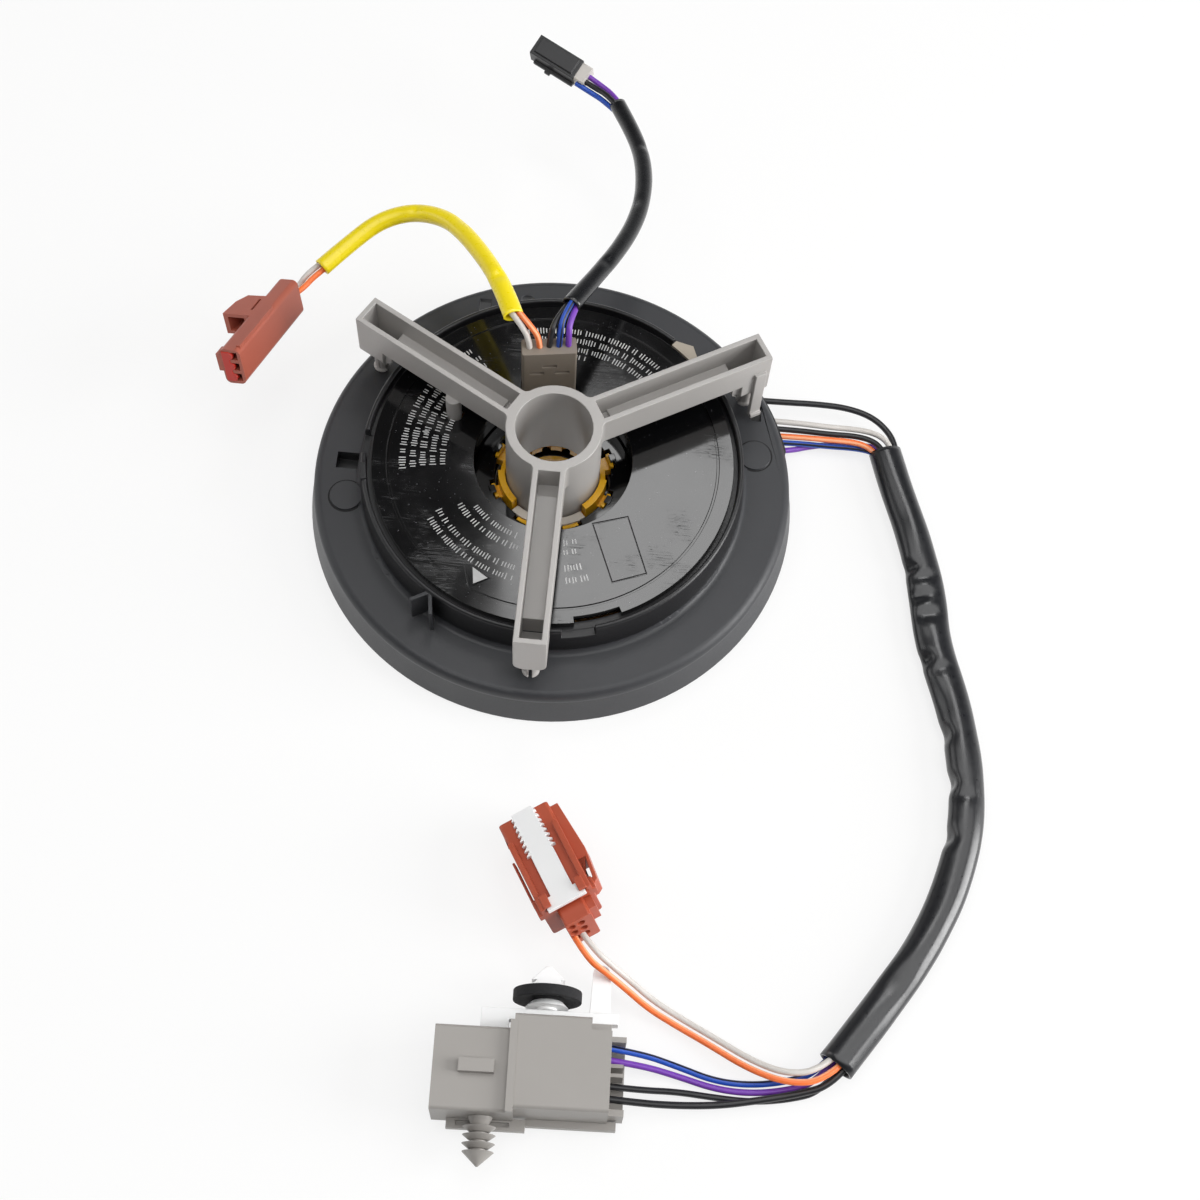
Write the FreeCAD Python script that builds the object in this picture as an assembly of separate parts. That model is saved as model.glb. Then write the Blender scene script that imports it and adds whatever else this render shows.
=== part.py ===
import FreeCAD, Part
import math
import os

# Steering clock spring: a flat cable is wound in a round cassette, so that the
# steering wheel's circuits stay joined while the rotor turns on the fixed housing.
# The origin is on the rotation axis, in the plane that the skirt stands on. +Z is up.

os.makedirs("parts", exist_ok=True)
V = FreeCAD.Vector

# Widths from the axis outwards: shaft bore, lock ring, well, cassette, ring wall, flange
SHAFT_BORE_R = 9.4
COLLAR_WALL = 2.6
LOCK_LEDGE = 2.4
LOCK_WALL = 1.2
LOCK_TOOTH_REACH = 2.2
WELL_MARGIN = 4.0
HUB_WALL = 1.8
CASSETTE_WIDTH = 24.1
RING_FOOT_WALL = 1.8
RING_TOP_WALL = 1.2
DISC_RIM_GAP = 1.3
FLANGE_WIDTH = 13.1

# Outer housing: skirt, flange and ring wall in one moulding.
# Places on the flange are an angle and a distance out from the ring wall's foot.
SKIRT_LEAN = 1.4
SKIRT_WALL = 2.0
SHOULDER_Z = 8.5
SHOULDER_WIDTH = 3.4
FLANGE_Z = 11.5
FLANGE_WALL = 1.9
RING_HEIGHT = 9.8
RING_FILLET = 1.5
LEDGE_WIDTH = 2.5
LEDGE_WALL = 1.6
WINDOW_PLACES = ((180.5, 3.75), (114.7, 6.15), (25.8, 7.6))
WINDOW_SIZES = ((5.3, 4.4), (2.9, 4.4), (2.3, 4.3))
POCKET_DROP = 4.1
POCKET_WALL = 1.0
BOSS_R = 4.0
BOSS_RISE = 0.6
BOSS_PLACES = ((13.1, 3.7), (191.8, 3.8))
LOCATING_R = 1.75
LOCATING_PLACE = (102.7, 5.3)
SLOT_WIDTH = 2.0
SLOT_PLACES = ((97.9, 4.0), (89.2, 4.4))
GUSSET_ANGLES = (-126.0, -119.0)
GUSSET_APEX_ANGLE = -123.4
GUSSET_REACH = 3.4
GUSSET_WALL = 0.9
RIB_COUNT = 12
RIB_WALL = 1.4
RIB_DEPTH = 4.0
TERMINAL_GAP = (43.0, 54.0)
FRONT_GAP = (-82.0, -72.0)
SIDE_NOTCH = (176.0, 184.0)
SIDE_NOTCH_DEPTH = 3.0
TAB_ANGLES = (187.8, 193.4)
TAB_RISE = 0.5

# Base cover, slip film and ribbon cable, stacked inside the cassette
COVER_WALL = 1.5
CASSETTE_FOOT_Z = 4.0
FILM_WALL = 0.3
RIBBON_HEIGHT = 11.0
RIBBON_WALL = 0.5
RIBBON_INNER_GAP = 3.6
RIBBON_OUTER_GAP = 1.6
RIBBON_HALF_TURNS = 9
COVER_HUB_RISE = 0.6
COVER_HUB_WALL = 2.0

# Rotor: disc, hub wall, floor and collar
DISC_WALL = 1.8
DISC_GAP = 0.3
GROOVE_INSET = 3.8
GROOVE_WIDTH = 0.6
GROOVE_DEPTH = 0.35
RIM_NOTCH = (-78.0, -63.0)
RIM_NOTCH_DEPTH = 1.6
HUB_FLOOR_Z = 4.6
HUB_FLOOR_WALL = 1.4
COLLAR_FOOT_Z = 0.8
RUNNING_FIT = 0.05
SNAP_LIP = 1.2
LIP_COUNT = 4
LIP_ANGLE = 42.0
ENGRAVING = 0.3
PLATE_CORNERS = ((10.9, -16.4), (17.0, -31.7), (25.0, -28.5), (19.3, -13.6))
PLATE_LINE = 0.045
MARK_CORNERS = ((-18.1, -30.4), (-16.4, -36.5), (-11.6, -33.4))
PEG_CENTRE = (-25.3, 10.3)
PEG_R = 1.9
PEG_CLEARANCE = 0.5

# Plug at the back of the well, and the inner terminal under it
PLUG_ANGLE = 99.0
PLUG_OFFSET = 1.0
PLUG_WIDTH = 13.1
PLUG_DEPTH = 4.5
PLUG_TOP_Z = 39.5
PLUG_FOOT_Z = 16.0
PLUG_FIT = 0.1
PLUG_SLOTS = ((0.0, 34.0), (3.05, 31.1), (-3.05, 31.2))
PLUG_SLOT_WIDTH = 3.5
PLUG_SLOT_HEIGHT = 1.0
TERMINAL_DEPTH = 1.6
TERMINAL_WIDTH = 9.0

# Lock ring with two high ears, its wear cap, its spring and the retainer ring around them
LOCK_FOOT_Z = 8.6
LOCK_COLLAR_Z = 11.6
LOCK_TOP_Z = 15.5
LOCK_EARS = ((186.0, 228.0), (312.0, 354.0))
LOCK_EAR_RISE = 0.4
LOCK_FLANGE_WALL = 2.0
LOCK_TOOTH_Z = 9.0
LOCK_TIP_WALL = 0.9
LOCK_TIP_Z = 13.0
LOCK_TEETH = 8
LOCK_TOOTH_ANGLE = 15.0
LOCK_SCALLOPS = 12
SCALLOP_R = 1.1
CAP_ARC = (230.0, 310.0)
CAP_GAP = 0.3
CAP_WALL = 1.4
SPRING_WIRE_R = 0.3
SPRING_TURNS = 2.0
RETAINER_WALL = 1.6
RETAINER_SEAT_GAP = 0.3
RETAINER_GAP = 0.4
RETAINER_GAP_ANGLE = 3.0
RETAINER_LIPS = (22.5, 157.5, 202.5, 337.5)
RETAINER_LIP_ANGLE = 8.0
RETAINER_LIP_GAP = 0.2
RETAINER_LIP_WALL = 0.8
SEAT_WIDTH = 1.8

# Shipping lock: tube, three channel arms, feet, snap pins, hook and peg.
# The arms end over the flange, a distance out from the ring wall's foot.
TUBE_GAP = 0.34
TUBE_WALL = 2.3
TUBE_TOP_Z = 36.3
TUBE_FOOT_Z = 11.0
ARM_ANGLES = (30.0, 150.0, 270.0)
ARM_OVERHANG = 9.1
ARM_WIDTH = 7.73
ARM_WALL = 1.3
ARM_DEPTH = 8.8
ARM_FLOOR_DROP = 6.3
ARM_FLOOR_WALL = 1.5
ARM_ROOT_GAP = 3.5
ARM_FILLET = 1.6
POCKET_OUT = 0.1
FOOT_OUT = 1.7
FOOT_Z = 21.5
FOOT_CORNER = 2.4
FOOT_FLOOR_WALL = 1.5
PIN_OUT = 5.7
PIN_R = 2.2
PIN_FOOT_Z = 12.4
PIN_SPLIT = 0.8
HOOK_WALL = 1.1
HOOK_WIDTH = 3.0
HOOK_INSET = 4.4
PEG_FOOT_Z = 18.3
PEG_SLOT = 0.8

# Lead exit block in the skirt's window
EXIT_ANGLES = (15.0, 35.0)
EXIT_INSET = 0.6
EXIT_DEPTH = 4.4
EXIT_FOOT_Z = 1.2
EXIT_HEAD_Z = 8.4
WINDOW_MARGIN = 0.4

# Leads
WIRE_D = 1.45
HEAVY_WIRE_D = 1.6
YELLOW_SLEEVE_D = 4.3
BLACK_SLEEVE_D = 4.0
HARNESS_SLEEVE_D = 7.5


def face_from(moves, place):
    """Closed face from corner points. A pair of points is an arc: its middle and its end."""
    edges = []
    last = moves[0]
    for move in moves[1:]:
        if isinstance(move[0], tuple):
            middle, end = move
            edges.append(Part.Arc(place(last), place(middle), place(end)).toShape())
        else:
            end = move
            edges.append(Part.LineSegment(place(last), place(end)).toShape())
        last = end
    if (place(last) - place(moves[0])).Length > 1e-6:
        edges.append(Part.LineSegment(place(last), place(moves[0])).toShape())
    return Part.Face(Part.Wire(edges))


def turned(moves):
    """Solid turned about Z from an outline of (radius, height) points."""
    outline = face_from(moves, lambda p: V(p[0], 0, p[1]))
    return outline.revolve(V(0, 0, 0), V(0, 0, 1), 360)


def slab(moves, low, high):
    """Plan outline raised from one height to another."""
    return face_from(moves, lambda p: V(p[0], p[1], low)).extrude(V(0, 0, high - low))


def block(x0, x1, y0, y1, z0, z1):
    return Part.makeBox(x1 - x0, y1 - y0, z1 - z0, V(x0, y0, z0))


def disc(radius, low, high, centre=(0, 0)):
    return Part.makeCylinder(radius, high - low, V(centre[0], centre[1], low))


def ring(inner, outer, low, high):
    return disc(outer, low, high).cut(disc(inner, low, high))


def polar(radius, angle):
    return (radius * math.cos(math.radians(angle)), radius * math.sin(math.radians(angle)))


def sector(inner, outer, angles, low, high):
    """Part of a ring between two angles."""
    first, last = angles
    middle = (first + last) / 2
    moves = [polar(inner, first), polar(outer, first), (polar(outer, middle), polar(outer, last)),
             polar(inner, last), (polar(inner, middle), polar(inner, first))]
    return slab(moves, low, high)


def turned_to(shape, angle):
    copy = shape.copy()
    copy.rotate(V(0, 0, 0), V(0, 0, 1), angle)
    return copy


def joined(first, *others):
    return first.fuse(list(others)).removeSplitter()


def save(shape, node):
    solid = shape.Solids[0] if len(shape.Solids) == 1 else shape
    solid.exportStep("parts/" + node + ".step")
    print(node, len(shape.Solids), "solid", round(shape.Volume, 1), "mm3", "valid", shape.isValid())


# Radii that follow from the widths
COLLAR_R = SHAFT_BORE_R + COLLAR_WALL
LOCK_INNER_R = SHAFT_BORE_R + LOCK_LEDGE
LOCK_COLLAR_R = LOCK_INNER_R + LOCK_WALL
LOCK_TOOTH_R = LOCK_COLLAR_R + LOCK_TOOTH_REACH
SPRING_R = (LOCK_COLLAR_R + LOCK_TOOTH_R) / 2 + 0.1
TOOTH_TIP_R = LOCK_TOOTH_R - LOCK_TIP_WALL
RETAINER_INNER_R = LOCK_TOOTH_R + RETAINER_GAP
WELL_R = LOCK_TOOTH_R + WELL_MARGIN
RETAINER_R = WELL_R - RETAINER_SEAT_GAP
PLUG_R = WELL_R + PLUG_OFFSET
HUB_R = WELL_R + HUB_WALL
RING_INNER_R = HUB_R + CASSETTE_WIDTH
RING_FOOT_R = RING_INNER_R + RING_FOOT_WALL
RING_TOP_R = RING_INNER_R + RING_TOP_WALL
LEDGE_R = RING_INNER_R - LEDGE_WIDTH
DISC_R = RING_INNER_R - DISC_RIM_GAP
GROOVE_R = DISC_R - GROOVE_INSET
SKIRT_R = RING_FOOT_R + FLANGE_WIDTH
SKIRT_TOP_R = SKIRT_R - SKIRT_LEAN
FLANGE_R = SKIRT_R - SHOULDER_WIDTH
EXIT_FACE_R = SKIRT_R - EXIT_INSET
EXIT_BACK_R = EXIT_FACE_R - EXIT_DEPTH
RIBBON_START_R = HUB_R + RIBBON_INNER_GAP
RIBBON_STEP = (RING_INNER_R - RIBBON_OUTER_GAP - RIBBON_START_R) / RIBBON_HALF_TURNS
TUBE_R = LOCK_INNER_R - TUBE_GAP
TUBE_BORE_R = TUBE_R - TUBE_WALL
ARM_ROOT_R = TUBE_R + ARM_ROOT_GAP
ARM_LENGTH = RING_FOOT_R + ARM_OVERHANG
POCKET_R = RING_FOOT_R + POCKET_OUT
FOOT_R = RING_FOOT_R + FOOT_OUT
PIN_CENTRE_R = RING_FOOT_R + PIN_OUT

# Heights that follow
RING_TOP_Z = FLANGE_Z + RING_HEIGHT
FLANGE_UNDER_Z = FLANGE_Z - FLANGE_WALL
DISC_TOP_Z = RING_TOP_Z - 0.4
DISC_UNDER_Z = DISC_TOP_Z - DISC_WALL
LEDGE_TOP_Z = DISC_UNDER_Z - DISC_GAP
LEDGE_UNDER_Z = LEDGE_TOP_Z - LEDGE_WALL
COVER_UNDER_Z = CASSETTE_FOOT_Z - COVER_WALL
FILM_TOP_Z = CASSETTE_FOOT_Z + FILM_WALL
RIBBON_TOP_Z = FILM_TOP_Z + RIBBON_HEIGHT
HUB_FLOOR_TOP_Z = HUB_FLOOR_Z + HUB_FLOOR_WALL
SEAT_Z = LOCK_TOOTH_Z + 3.0
RETAINER_TOP_Z = SEAT_Z + RETAINER_WALL
ARM_UNDER_Z = TUBE_TOP_Z - ARM_DEPTH
ARM_FLOOR_Z = TUBE_TOP_Z - ARM_FLOOR_DROP


def on_flange(place):
    angle, out = place
    return polar(RING_FOOT_R + out, angle)


def outer_housing():
    wall_r = RING_INNER_R
    flange_end = RING_FOOT_R + RING_FILLET
    profile = [
        (SKIRT_R, 0), (SKIRT_TOP_R, SHOULDER_Z),
        ((SKIRT_TOP_R - 0.45, FLANGE_Z - 0.9), (FLANGE_R, FLANGE_Z)),
        (flange_end, FLANGE_Z),
        ((RING_FOOT_R + 0.44, FLANGE_Z + 0.44), (RING_FOOT_R, FLANGE_Z + RING_FILLET)),
        (RING_TOP_R, RING_TOP_Z - 0.4), (RING_TOP_R - 0.4, RING_TOP_Z),
        (wall_r + 0.3, RING_TOP_Z), (wall_r, RING_TOP_Z - 0.3),
        (wall_r, LEDGE_TOP_Z), (LEDGE_R, LEDGE_TOP_Z), (LEDGE_R, LEDGE_UNDER_Z), (wall_r, LEDGE_UNDER_Z),
        (wall_r, CASSETTE_FOOT_Z), (RING_FOOT_R, CASSETTE_FOOT_Z), (RING_FOOT_R, FLANGE_UNDER_Z),
        (SKIRT_TOP_R - SKIRT_WALL, FLANGE_UNDER_Z), (SKIRT_R - SKIRT_WALL, 0)]
    body = turned(profile)
    added = []
    rib = block(RING_FOOT_R - 0.5, SKIRT_TOP_R - SKIRT_WALL + 0.2, -RIB_WALL / 2, RIB_WALL / 2,
                FLANGE_UNDER_Z - RIB_DEPTH, FLANGE_UNDER_Z + 0.5)
    for k in range(RIB_COUNT):
        angle = 360.0 * k / RIB_COUNT - 3.0
        if not EXIT_ANGLES[0] - 4 < angle % 360 < EXIT_ANGLES[1] + 4:
            added.append(turned_to(rib, angle))
    for place in BOSS_PLACES:
        added.append(disc(BOSS_R, FLANGE_UNDER_Z, FLANGE_Z + BOSS_RISE, on_flange(place)))
    for angle in GUSSET_ANGLES:
        added.append(gusset(angle))
    added.append(sector(RING_INNER_R, RING_FOOT_R - 0.3, TAB_ANGLES, RING_TOP_Z - 1, RING_TOP_Z + TAB_RISE))
    added.append(window_pocket())
    body = joined(body, *added)
    inside = disc(RING_INNER_R, CASSETTE_FOOT_Z - 1, LEDGE_UNDER_Z)
    body = body.cut([inside] + housing_cuts())
    return body.removeSplitter()


def window_pocket():
    """Shelf on the cassette's wall that closes the left window from below."""
    x, y = on_flange(WINDOW_PLACES[0])
    long, wide = WINDOW_SIZES[0]
    top = FLANGE_Z - POCKET_DROP
    return block(x - long / 2 - 1.2, -RING_FOOT_R + 0.3, y - wide / 2 - 1, y + wide / 2 + 3.2,
                 top - POCKET_WALL, top)


def gusset(angle):
    """Thin rib that stands on the flange and leans against the ring wall."""
    apex = polar(RING_TOP_R - 0.5, GUSSET_APEX_ANGLE)
    foot = polar(RING_FOOT_R + GUSSET_REACH, angle)
    along = V(foot[0] - apex[0], foot[1] - apex[1], 0)
    side = V(-along.y, along.x, 0).normalize() * GUSSET_WALL / 2
    corners = [V(*apex, 0) - side, V(*foot, 0) - side, V(*foot, 0) + side, V(*apex, 0) + side]
    return slab([(c.x, c.y) for c in corners], FLANGE_Z - 0.5, RING_TOP_Z - 0.5)


def housing_cuts():
    deep = FLANGE_UNDER_Z - 1
    cuts = []
    for place, (long, wide) in zip(WINDOW_PLACES, WINDOW_SIZES):
        x, y = on_flange(place)
        cuts.append(block(x - long / 2, x + long / 2, y - wide / 2, y + wide / 2, deep, FLANGE_Z + 1))
    cuts.append(disc(LOCATING_R, deep, FLANGE_Z + 1, on_flange(LOCATING_PLACE)))
    slot_ends = [on_flange(place) for place in SLOT_PLACES]
    cuts.append(long_hole(slot_ends, SLOT_WIDTH / 2, deep, FLANGE_Z + 1))
    ring_out = RING_FOOT_R + RING_FILLET
    cuts.append(sector(RING_INNER_R - 1, ring_out, TERMINAL_GAP, FLANGE_Z, RING_TOP_Z + 1))
    cuts.append(sector(RING_INNER_R - 0.5, ring_out, FRONT_GAP, DISC_UNDER_Z - 0.6, RING_TOP_Z + 1))
    notch_floor = RING_TOP_Z - SIDE_NOTCH_DEPTH
    cuts.append(sector(RING_INNER_R - 0.5, ring_out, SIDE_NOTCH, notch_floor, RING_TOP_Z + 1))
    window = (EXIT_ANGLES[0] - WINDOW_MARGIN, EXIT_ANGLES[1] + WINDOW_MARGIN)
    cuts.append(sector(EXIT_BACK_R, SKIRT_R + 1, window, -1, EXIT_HEAD_Z + 0.1))
    return cuts


def long_hole(ends, radius, low, high):
    (x0, y0), (x1, y1) = ends
    side = V(y0 - y1, x1 - x0, 0).normalize() * radius
    moves = [(x0 - side.x, y0 - side.y), (x1 - side.x, y1 - side.y), (x1 + side.x, y1 + side.y),
             (x0 + side.x, y0 + side.y)]
    return slab(moves, low, high).fuse([disc(radius, low, high, ends[0]), disc(radius, low, high, ends[1])])


def base_cover():
    bore = COLLAR_R + RUNNING_FIT
    plate = ring(bore, RING_FOOT_R, COVER_UNDER_Z, CASSETTE_FOOT_Z)
    hub_ring = ring(bore, bore + COVER_HUB_WALL, COVER_UNDER_Z - COVER_HUB_RISE, COVER_UNDER_Z)
    spigot = ring(RING_INNER_R - 1.2, RING_INNER_R, CASSETTE_FOOT_Z, CASSETTE_FOOT_Z + 1.5)
    return joined(plate, hub_ring, spigot)


def exit_block():
    lower = sector(EXIT_BACK_R, EXIT_FACE_R, EXIT_ANGLES, EXIT_FOOT_Z, EXIT_HEAD_Z)
    head_r = SKIRT_TOP_R - SKIRT_WALL - 0.3
    head = sector(EXIT_BACK_R - 2.2, head_r, EXIT_ANGLES, EXIT_FOOT_Z, FLANGE_UNDER_Z)
    return joined(lower, head)


def ribbon_cable():
    """Flat cable wound as half turns, each a little wider than the last."""
    outer = []
    inner = []
    radius = RIBBON_START_R
    for k in range(RIBBON_HALF_TURNS):
        centre = RIBBON_STEP / 2 if k % 2 else -RIBBON_STEP / 2
        sign = -1 if k % 2 else 1
        for half, path in ((RIBBON_WALL / 2, outer), (-RIBBON_WALL / 2, inner)):
            r = radius + half
            path.append(((centre + sign * r, 0), (centre, sign * r), (centre - sign * r, 0)))
        radius += RIBBON_STEP
    moves = [outer[0][0]] + [(middle, end) for start, middle, end in outer]
    moves.append(inner[-1][2])
    moves += [(middle, start) for start, middle, end in reversed(inner)]
    return slab(moves, FILM_TOP_Z, RIBBON_TOP_Z)


def ribbon_terminal():
    """Block that joins the ribbon's outer end. It stands in the gap of the ring wall."""
    gap = (TERMINAL_GAP[0] + 0.5, TERMINAL_GAP[1] - 0.5)
    first, last = gap
    middle = (first + last) / 2
    inner = DISC_R + 0.4
    moves = [polar(inner, first), (polar(inner, middle), polar(inner, last)), polar(inner + 1.6, last),
             polar(RING_FOOT_R + 0.8, middle), polar(inner + 1.6, first)]
    return slab(moves, LEDGE_TOP_Z, RING_TOP_Z - 0.3)


def inner_terminal():
    """Block on the hub's outside, under the plug, where the ribbon's inner end is joined."""
    back = HUB_R + TERMINAL_DEPTH
    body = block(HUB_R - 1, back, -TERMINAL_WIDTH / 2, TERMINAL_WIDTH / 2, FILM_TOP_Z + 0.4, RIBBON_TOP_Z)
    return turned_to(body, PLUG_ANGLE).cut(disc(HUB_R, 0, RING_TOP_Z))


def rotor_hub():
    profile = [
        (SHAFT_BORE_R, COLLAR_FOOT_Z), (COLLAR_R, COLLAR_FOOT_Z), (COLLAR_R, HUB_FLOOR_Z),
        (HUB_R, HUB_FLOOR_Z), (HUB_R, DISC_UNDER_Z), (WELL_R, DISC_UNDER_Z), (WELL_R, SEAT_Z),
        (WELL_R - SEAT_WIDTH, SEAT_Z), (WELL_R - SEAT_WIDTH, SEAT_Z - 1.2), (WELL_R, SEAT_Z - 3.0),
        (WELL_R, HUB_FLOOR_TOP_Z), (SHAFT_BORE_R, HUB_FLOOR_TOP_Z)]
    body = turned(profile)
    lip_top = COVER_UNDER_Z - COVER_HUB_RISE - 0.3
    lips = []
    for k in range(LIP_COUNT):
        middle = 360.0 * k / LIP_COUNT
        angles = (middle - LIP_ANGLE / 2, middle + LIP_ANGLE / 2)
        lips.append(sector(COLLAR_R - 0.5, COLLAR_R + SNAP_LIP, angles, COLLAR_FOOT_Z, lip_top))
    return joined(body, *lips).cut(plug_shape(PLUG_FIT, PLUG_FOOT_Z))


def plug_shape(margin, foot):
    """Envelope of the plug, standing across the radius at its angle."""
    depth = PLUG_DEPTH / 2 + margin
    width = PLUG_WIDTH / 2 + margin
    body = block(PLUG_R - depth, PLUG_R + depth, -width, width, foot, PLUG_TOP_Z)
    return turned_to(body, PLUG_ANGLE)


def rotor_disc():
    body = ring(WELL_R, DISC_R, DISC_UNDER_Z, DISC_TOP_Z)
    groove = ring(GROOVE_R - GROOVE_WIDTH / 2, GROOVE_R + GROOVE_WIDTH / 2,
                  DISC_TOP_Z - GROOVE_DEPTH, DISC_TOP_Z + 1)
    notch = sector(DISC_R - RIM_NOTCH_DEPTH, DISC_R + 1, RIM_NOTCH, DISC_UNDER_Z - 1, DISC_TOP_Z + 1)
    engraved = DISC_TOP_Z - ENGRAVING
    cuts = [groove, notch, plug_shape(PLUG_FIT, DISC_UNDER_Z - 1)]
    cuts.append(plate_outline(engraved, DISC_TOP_Z + 1))
    cuts.append(slab(list(MARK_CORNERS), engraved, DISC_TOP_Z + 1))
    cuts.append(disc(PEG_R + PEG_CLEARANCE, DISC_UNDER_Z - 1, DISC_TOP_Z + 1, PEG_CENTRE))
    return body.cut(cuts)


def plate_outline(low, high):
    """Engraved line round a plain plate."""
    middle_x = sum(x for x, y in PLATE_CORNERS) / len(PLATE_CORNERS)
    middle_y = sum(y for x, y in PLATE_CORNERS) / len(PLATE_CORNERS)
    inner = []
    for x, y in PLATE_CORNERS:
        inner.append((x + (middle_x - x) * PLATE_LINE, y + (middle_y - y) * PLATE_LINE))
    return slab(list(PLATE_CORNERS), low, high).cut(slab(inner, low - 1, high + 1))


def rotor_plug():
    near = PLUG_R - PLUG_DEPTH / 2
    body = block(near, near + PLUG_DEPTH, -PLUG_WIDTH / 2, PLUG_WIDTH / 2, PLUG_FOOT_Z, PLUG_TOP_Z)
    body = body.makeFillet(0.6, [e for e in body.Edges if is_upright(e)])
    cuts = []
    for across, height in PLUG_SLOTS:
        cuts.append(block(near - 1, near + 0.8, across - PLUG_SLOT_WIDTH / 2, across + PLUG_SLOT_WIDTH / 2,
                          height - PLUG_SLOT_HEIGHT / 2, height + PLUG_SLOT_HEIGHT / 2))
    return turned_to(body.cut(cuts), PLUG_ANGLE)


def is_upright(edge):
    ends = [v.Point for v in edge.Vertexes]
    return len(ends) == 2 and abs(ends[0].x - ends[1].x) + abs(ends[0].y - ends[1].y) < 1e-6


def lock_ring():
    body = ring(LOCK_INNER_R, LOCK_COLLAR_R, LOCK_FOOT_Z, LOCK_COLLAR_Z)
    flange = ring(SHAFT_BORE_R, LOCK_INNER_R + 0.3, LOCK_FOOT_Z, LOCK_FOOT_Z + LOCK_FLANGE_WALL)
    ear_r = LOCK_COLLAR_R + LOCK_EAR_RISE
    ears = [sector(LOCK_INNER_R, ear_r, angles, LOCK_COLLAR_Z - 1, LOCK_TOP_Z) for angles in LOCK_EARS]
    teeth = []
    for k in range(LOCK_TEETH):
        middle = 360.0 * (k + 0.5) / LOCK_TEETH
        angles = (middle - LOCK_TOOTH_ANGLE / 2, middle + LOCK_TOOTH_ANGLE / 2)
        teeth.append(sector(LOCK_COLLAR_R - 0.5, LOCK_TOOTH_R, angles, LOCK_TOOTH_Z, LOCK_COLLAR_Z))
        teeth.append(sector(TOOTH_TIP_R, LOCK_TOOTH_R, angles, LOCK_TOOTH_Z, LOCK_TIP_Z))
    scallops = []
    for k in range(LOCK_SCALLOPS):
        centre = polar(SHAFT_BORE_R, 360.0 * (k + 0.5) / LOCK_SCALLOPS)
        scallops.append(disc(SCALLOP_R, LOCK_FOOT_Z - 1, LOCK_FOOT_Z + LOCK_FLANGE_WALL + 1, centre))
    return joined(body, flange, *ears, *teeth).cut(scallops)


def lock_ring_cap():
    """Wear arc on the lock ring, between the front ends of its ears."""
    outer = TOOTH_TIP_R - CAP_GAP
    high = LOCK_COLLAR_Z + CAP_WALL
    return sector(LOCK_INNER_R + 0.1, outer, CAP_ARC, LOCK_COLLAR_Z, high)


def retainer_ring():
    """Ring pressed into the well. Its lips keep four of the lock ring's teeth from rising."""
    inner = RETAINER_INNER_R
    body = ring(inner, RETAINER_R, SEAT_Z, RETAINER_TOP_Z)
    pitch = 360.0 / LOCK_TEETH
    half = (pitch - LOCK_TOOTH_ANGLE) / 2 - RETAINER_GAP_ANGLE
    segments = []
    for k in range(LOCK_TEETH):
        middle = pitch * k
        angles = (middle - half, middle + half)
        segments.append(sector(TOOTH_TIP_R, inner + 0.5, angles, SEAT_Z, RETAINER_TOP_Z))
    half = RETAINER_LIP_ANGLE / 2
    low = LOCK_TIP_Z + RETAINER_LIP_GAP
    lips = []
    for middle in RETAINER_LIPS:
        angles = (middle - half, middle + half)
        lips.append(sector(TOOTH_TIP_R + 0.3, inner + 0.5, angles, low, low + RETAINER_LIP_WALL))
    return joined(body, *segments, *lips)


def lock_spring():
    """Coil spring between the hub's floor and the lock ring's teeth."""
    height = LOCK_TOOTH_Z - HUB_FLOOR_TOP_Z - 2 * SPRING_WIRE_R
    helix = Part.makeHelix(height / SPRING_TURNS, height, SPRING_R)
    section = Part.Wire([Part.makeCircle(SPRING_WIRE_R, V(SPRING_R, 0, 0), V(0, 1, 0))])
    spring = Part.Wire(helix.Edges).makePipeShell([section], True, True)
    spring.translate(V(0, 0, HUB_FLOOR_TOP_Z + SPRING_WIRE_R))
    return spring


def shipping_lock():
    rim = disc(TUBE_R, ARM_UNDER_Z, TUBE_TOP_Z)
    arm = block(0, ARM_LENGTH, -ARM_WIDTH / 2, ARM_WIDTH / 2, ARM_UNDER_Z, TUBE_TOP_Z)
    body = joined(rim, *[turned_to(arm, a) for a in ARM_ANGLES])
    uprights = [e for e in body.Edges if is_upright(e)]
    roots = [e for e in uprights if math.hypot(e.Vertexes[0].X, e.Vertexes[0].Y) < TUBE_R + 1]
    body = body.makeFillet(ARM_FILLET, roots)
    body = joined(body, disc(TUBE_R, TUBE_FOOT_Z, TUBE_TOP_Z), *[turned_to(foot(), a) for a in ARM_ANGLES])
    cuts = [turned_to(c, a) for a in ARM_ANGLES for c in arm_pockets()]
    cuts.append(disc(TUBE_BORE_R, TUBE_FOOT_Z - 1, TUBE_TOP_Z + 1))
    body = body.cut(cuts)
    extras = [turned_to(snap_pin(), a) for a in ARM_ANGLES]
    extras += [turned_to(hook(), ARM_ANGLES[0]), locating_peg()]
    return joined(body, *extras)


def foot():
    """Deep end of an arm, with rounded lower corners, and the lobe on its inner side."""
    half = ARM_WIDTH / 2
    body = block(FOOT_R, ARM_LENGTH, -half, half, FOOT_Z, ARM_UNDER_Z + 1)
    low = [e for e in body.Edges if e.BoundBox.ZLength < 1e-6 and abs(e.BoundBox.ZMin - FOOT_Z) < 1e-6
           and e.BoundBox.YLength < 1e-6]
    body = body.makeFillet(FOOT_CORNER, low)
    lobe = Part.makeCylinder(2.6, ARM_WIDTH - 2, V(FOOT_R + 0.6, 1 - half, FOOT_Z + 2.9), V(0, 1, 0))
    neck = block(FOOT_R - 2.0, FOOT_R + 1, 1 - half, half - 1, FOOT_Z + 2.9, ARM_UNDER_Z + 0.5)
    return joined(body, lobe, neck)


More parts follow.
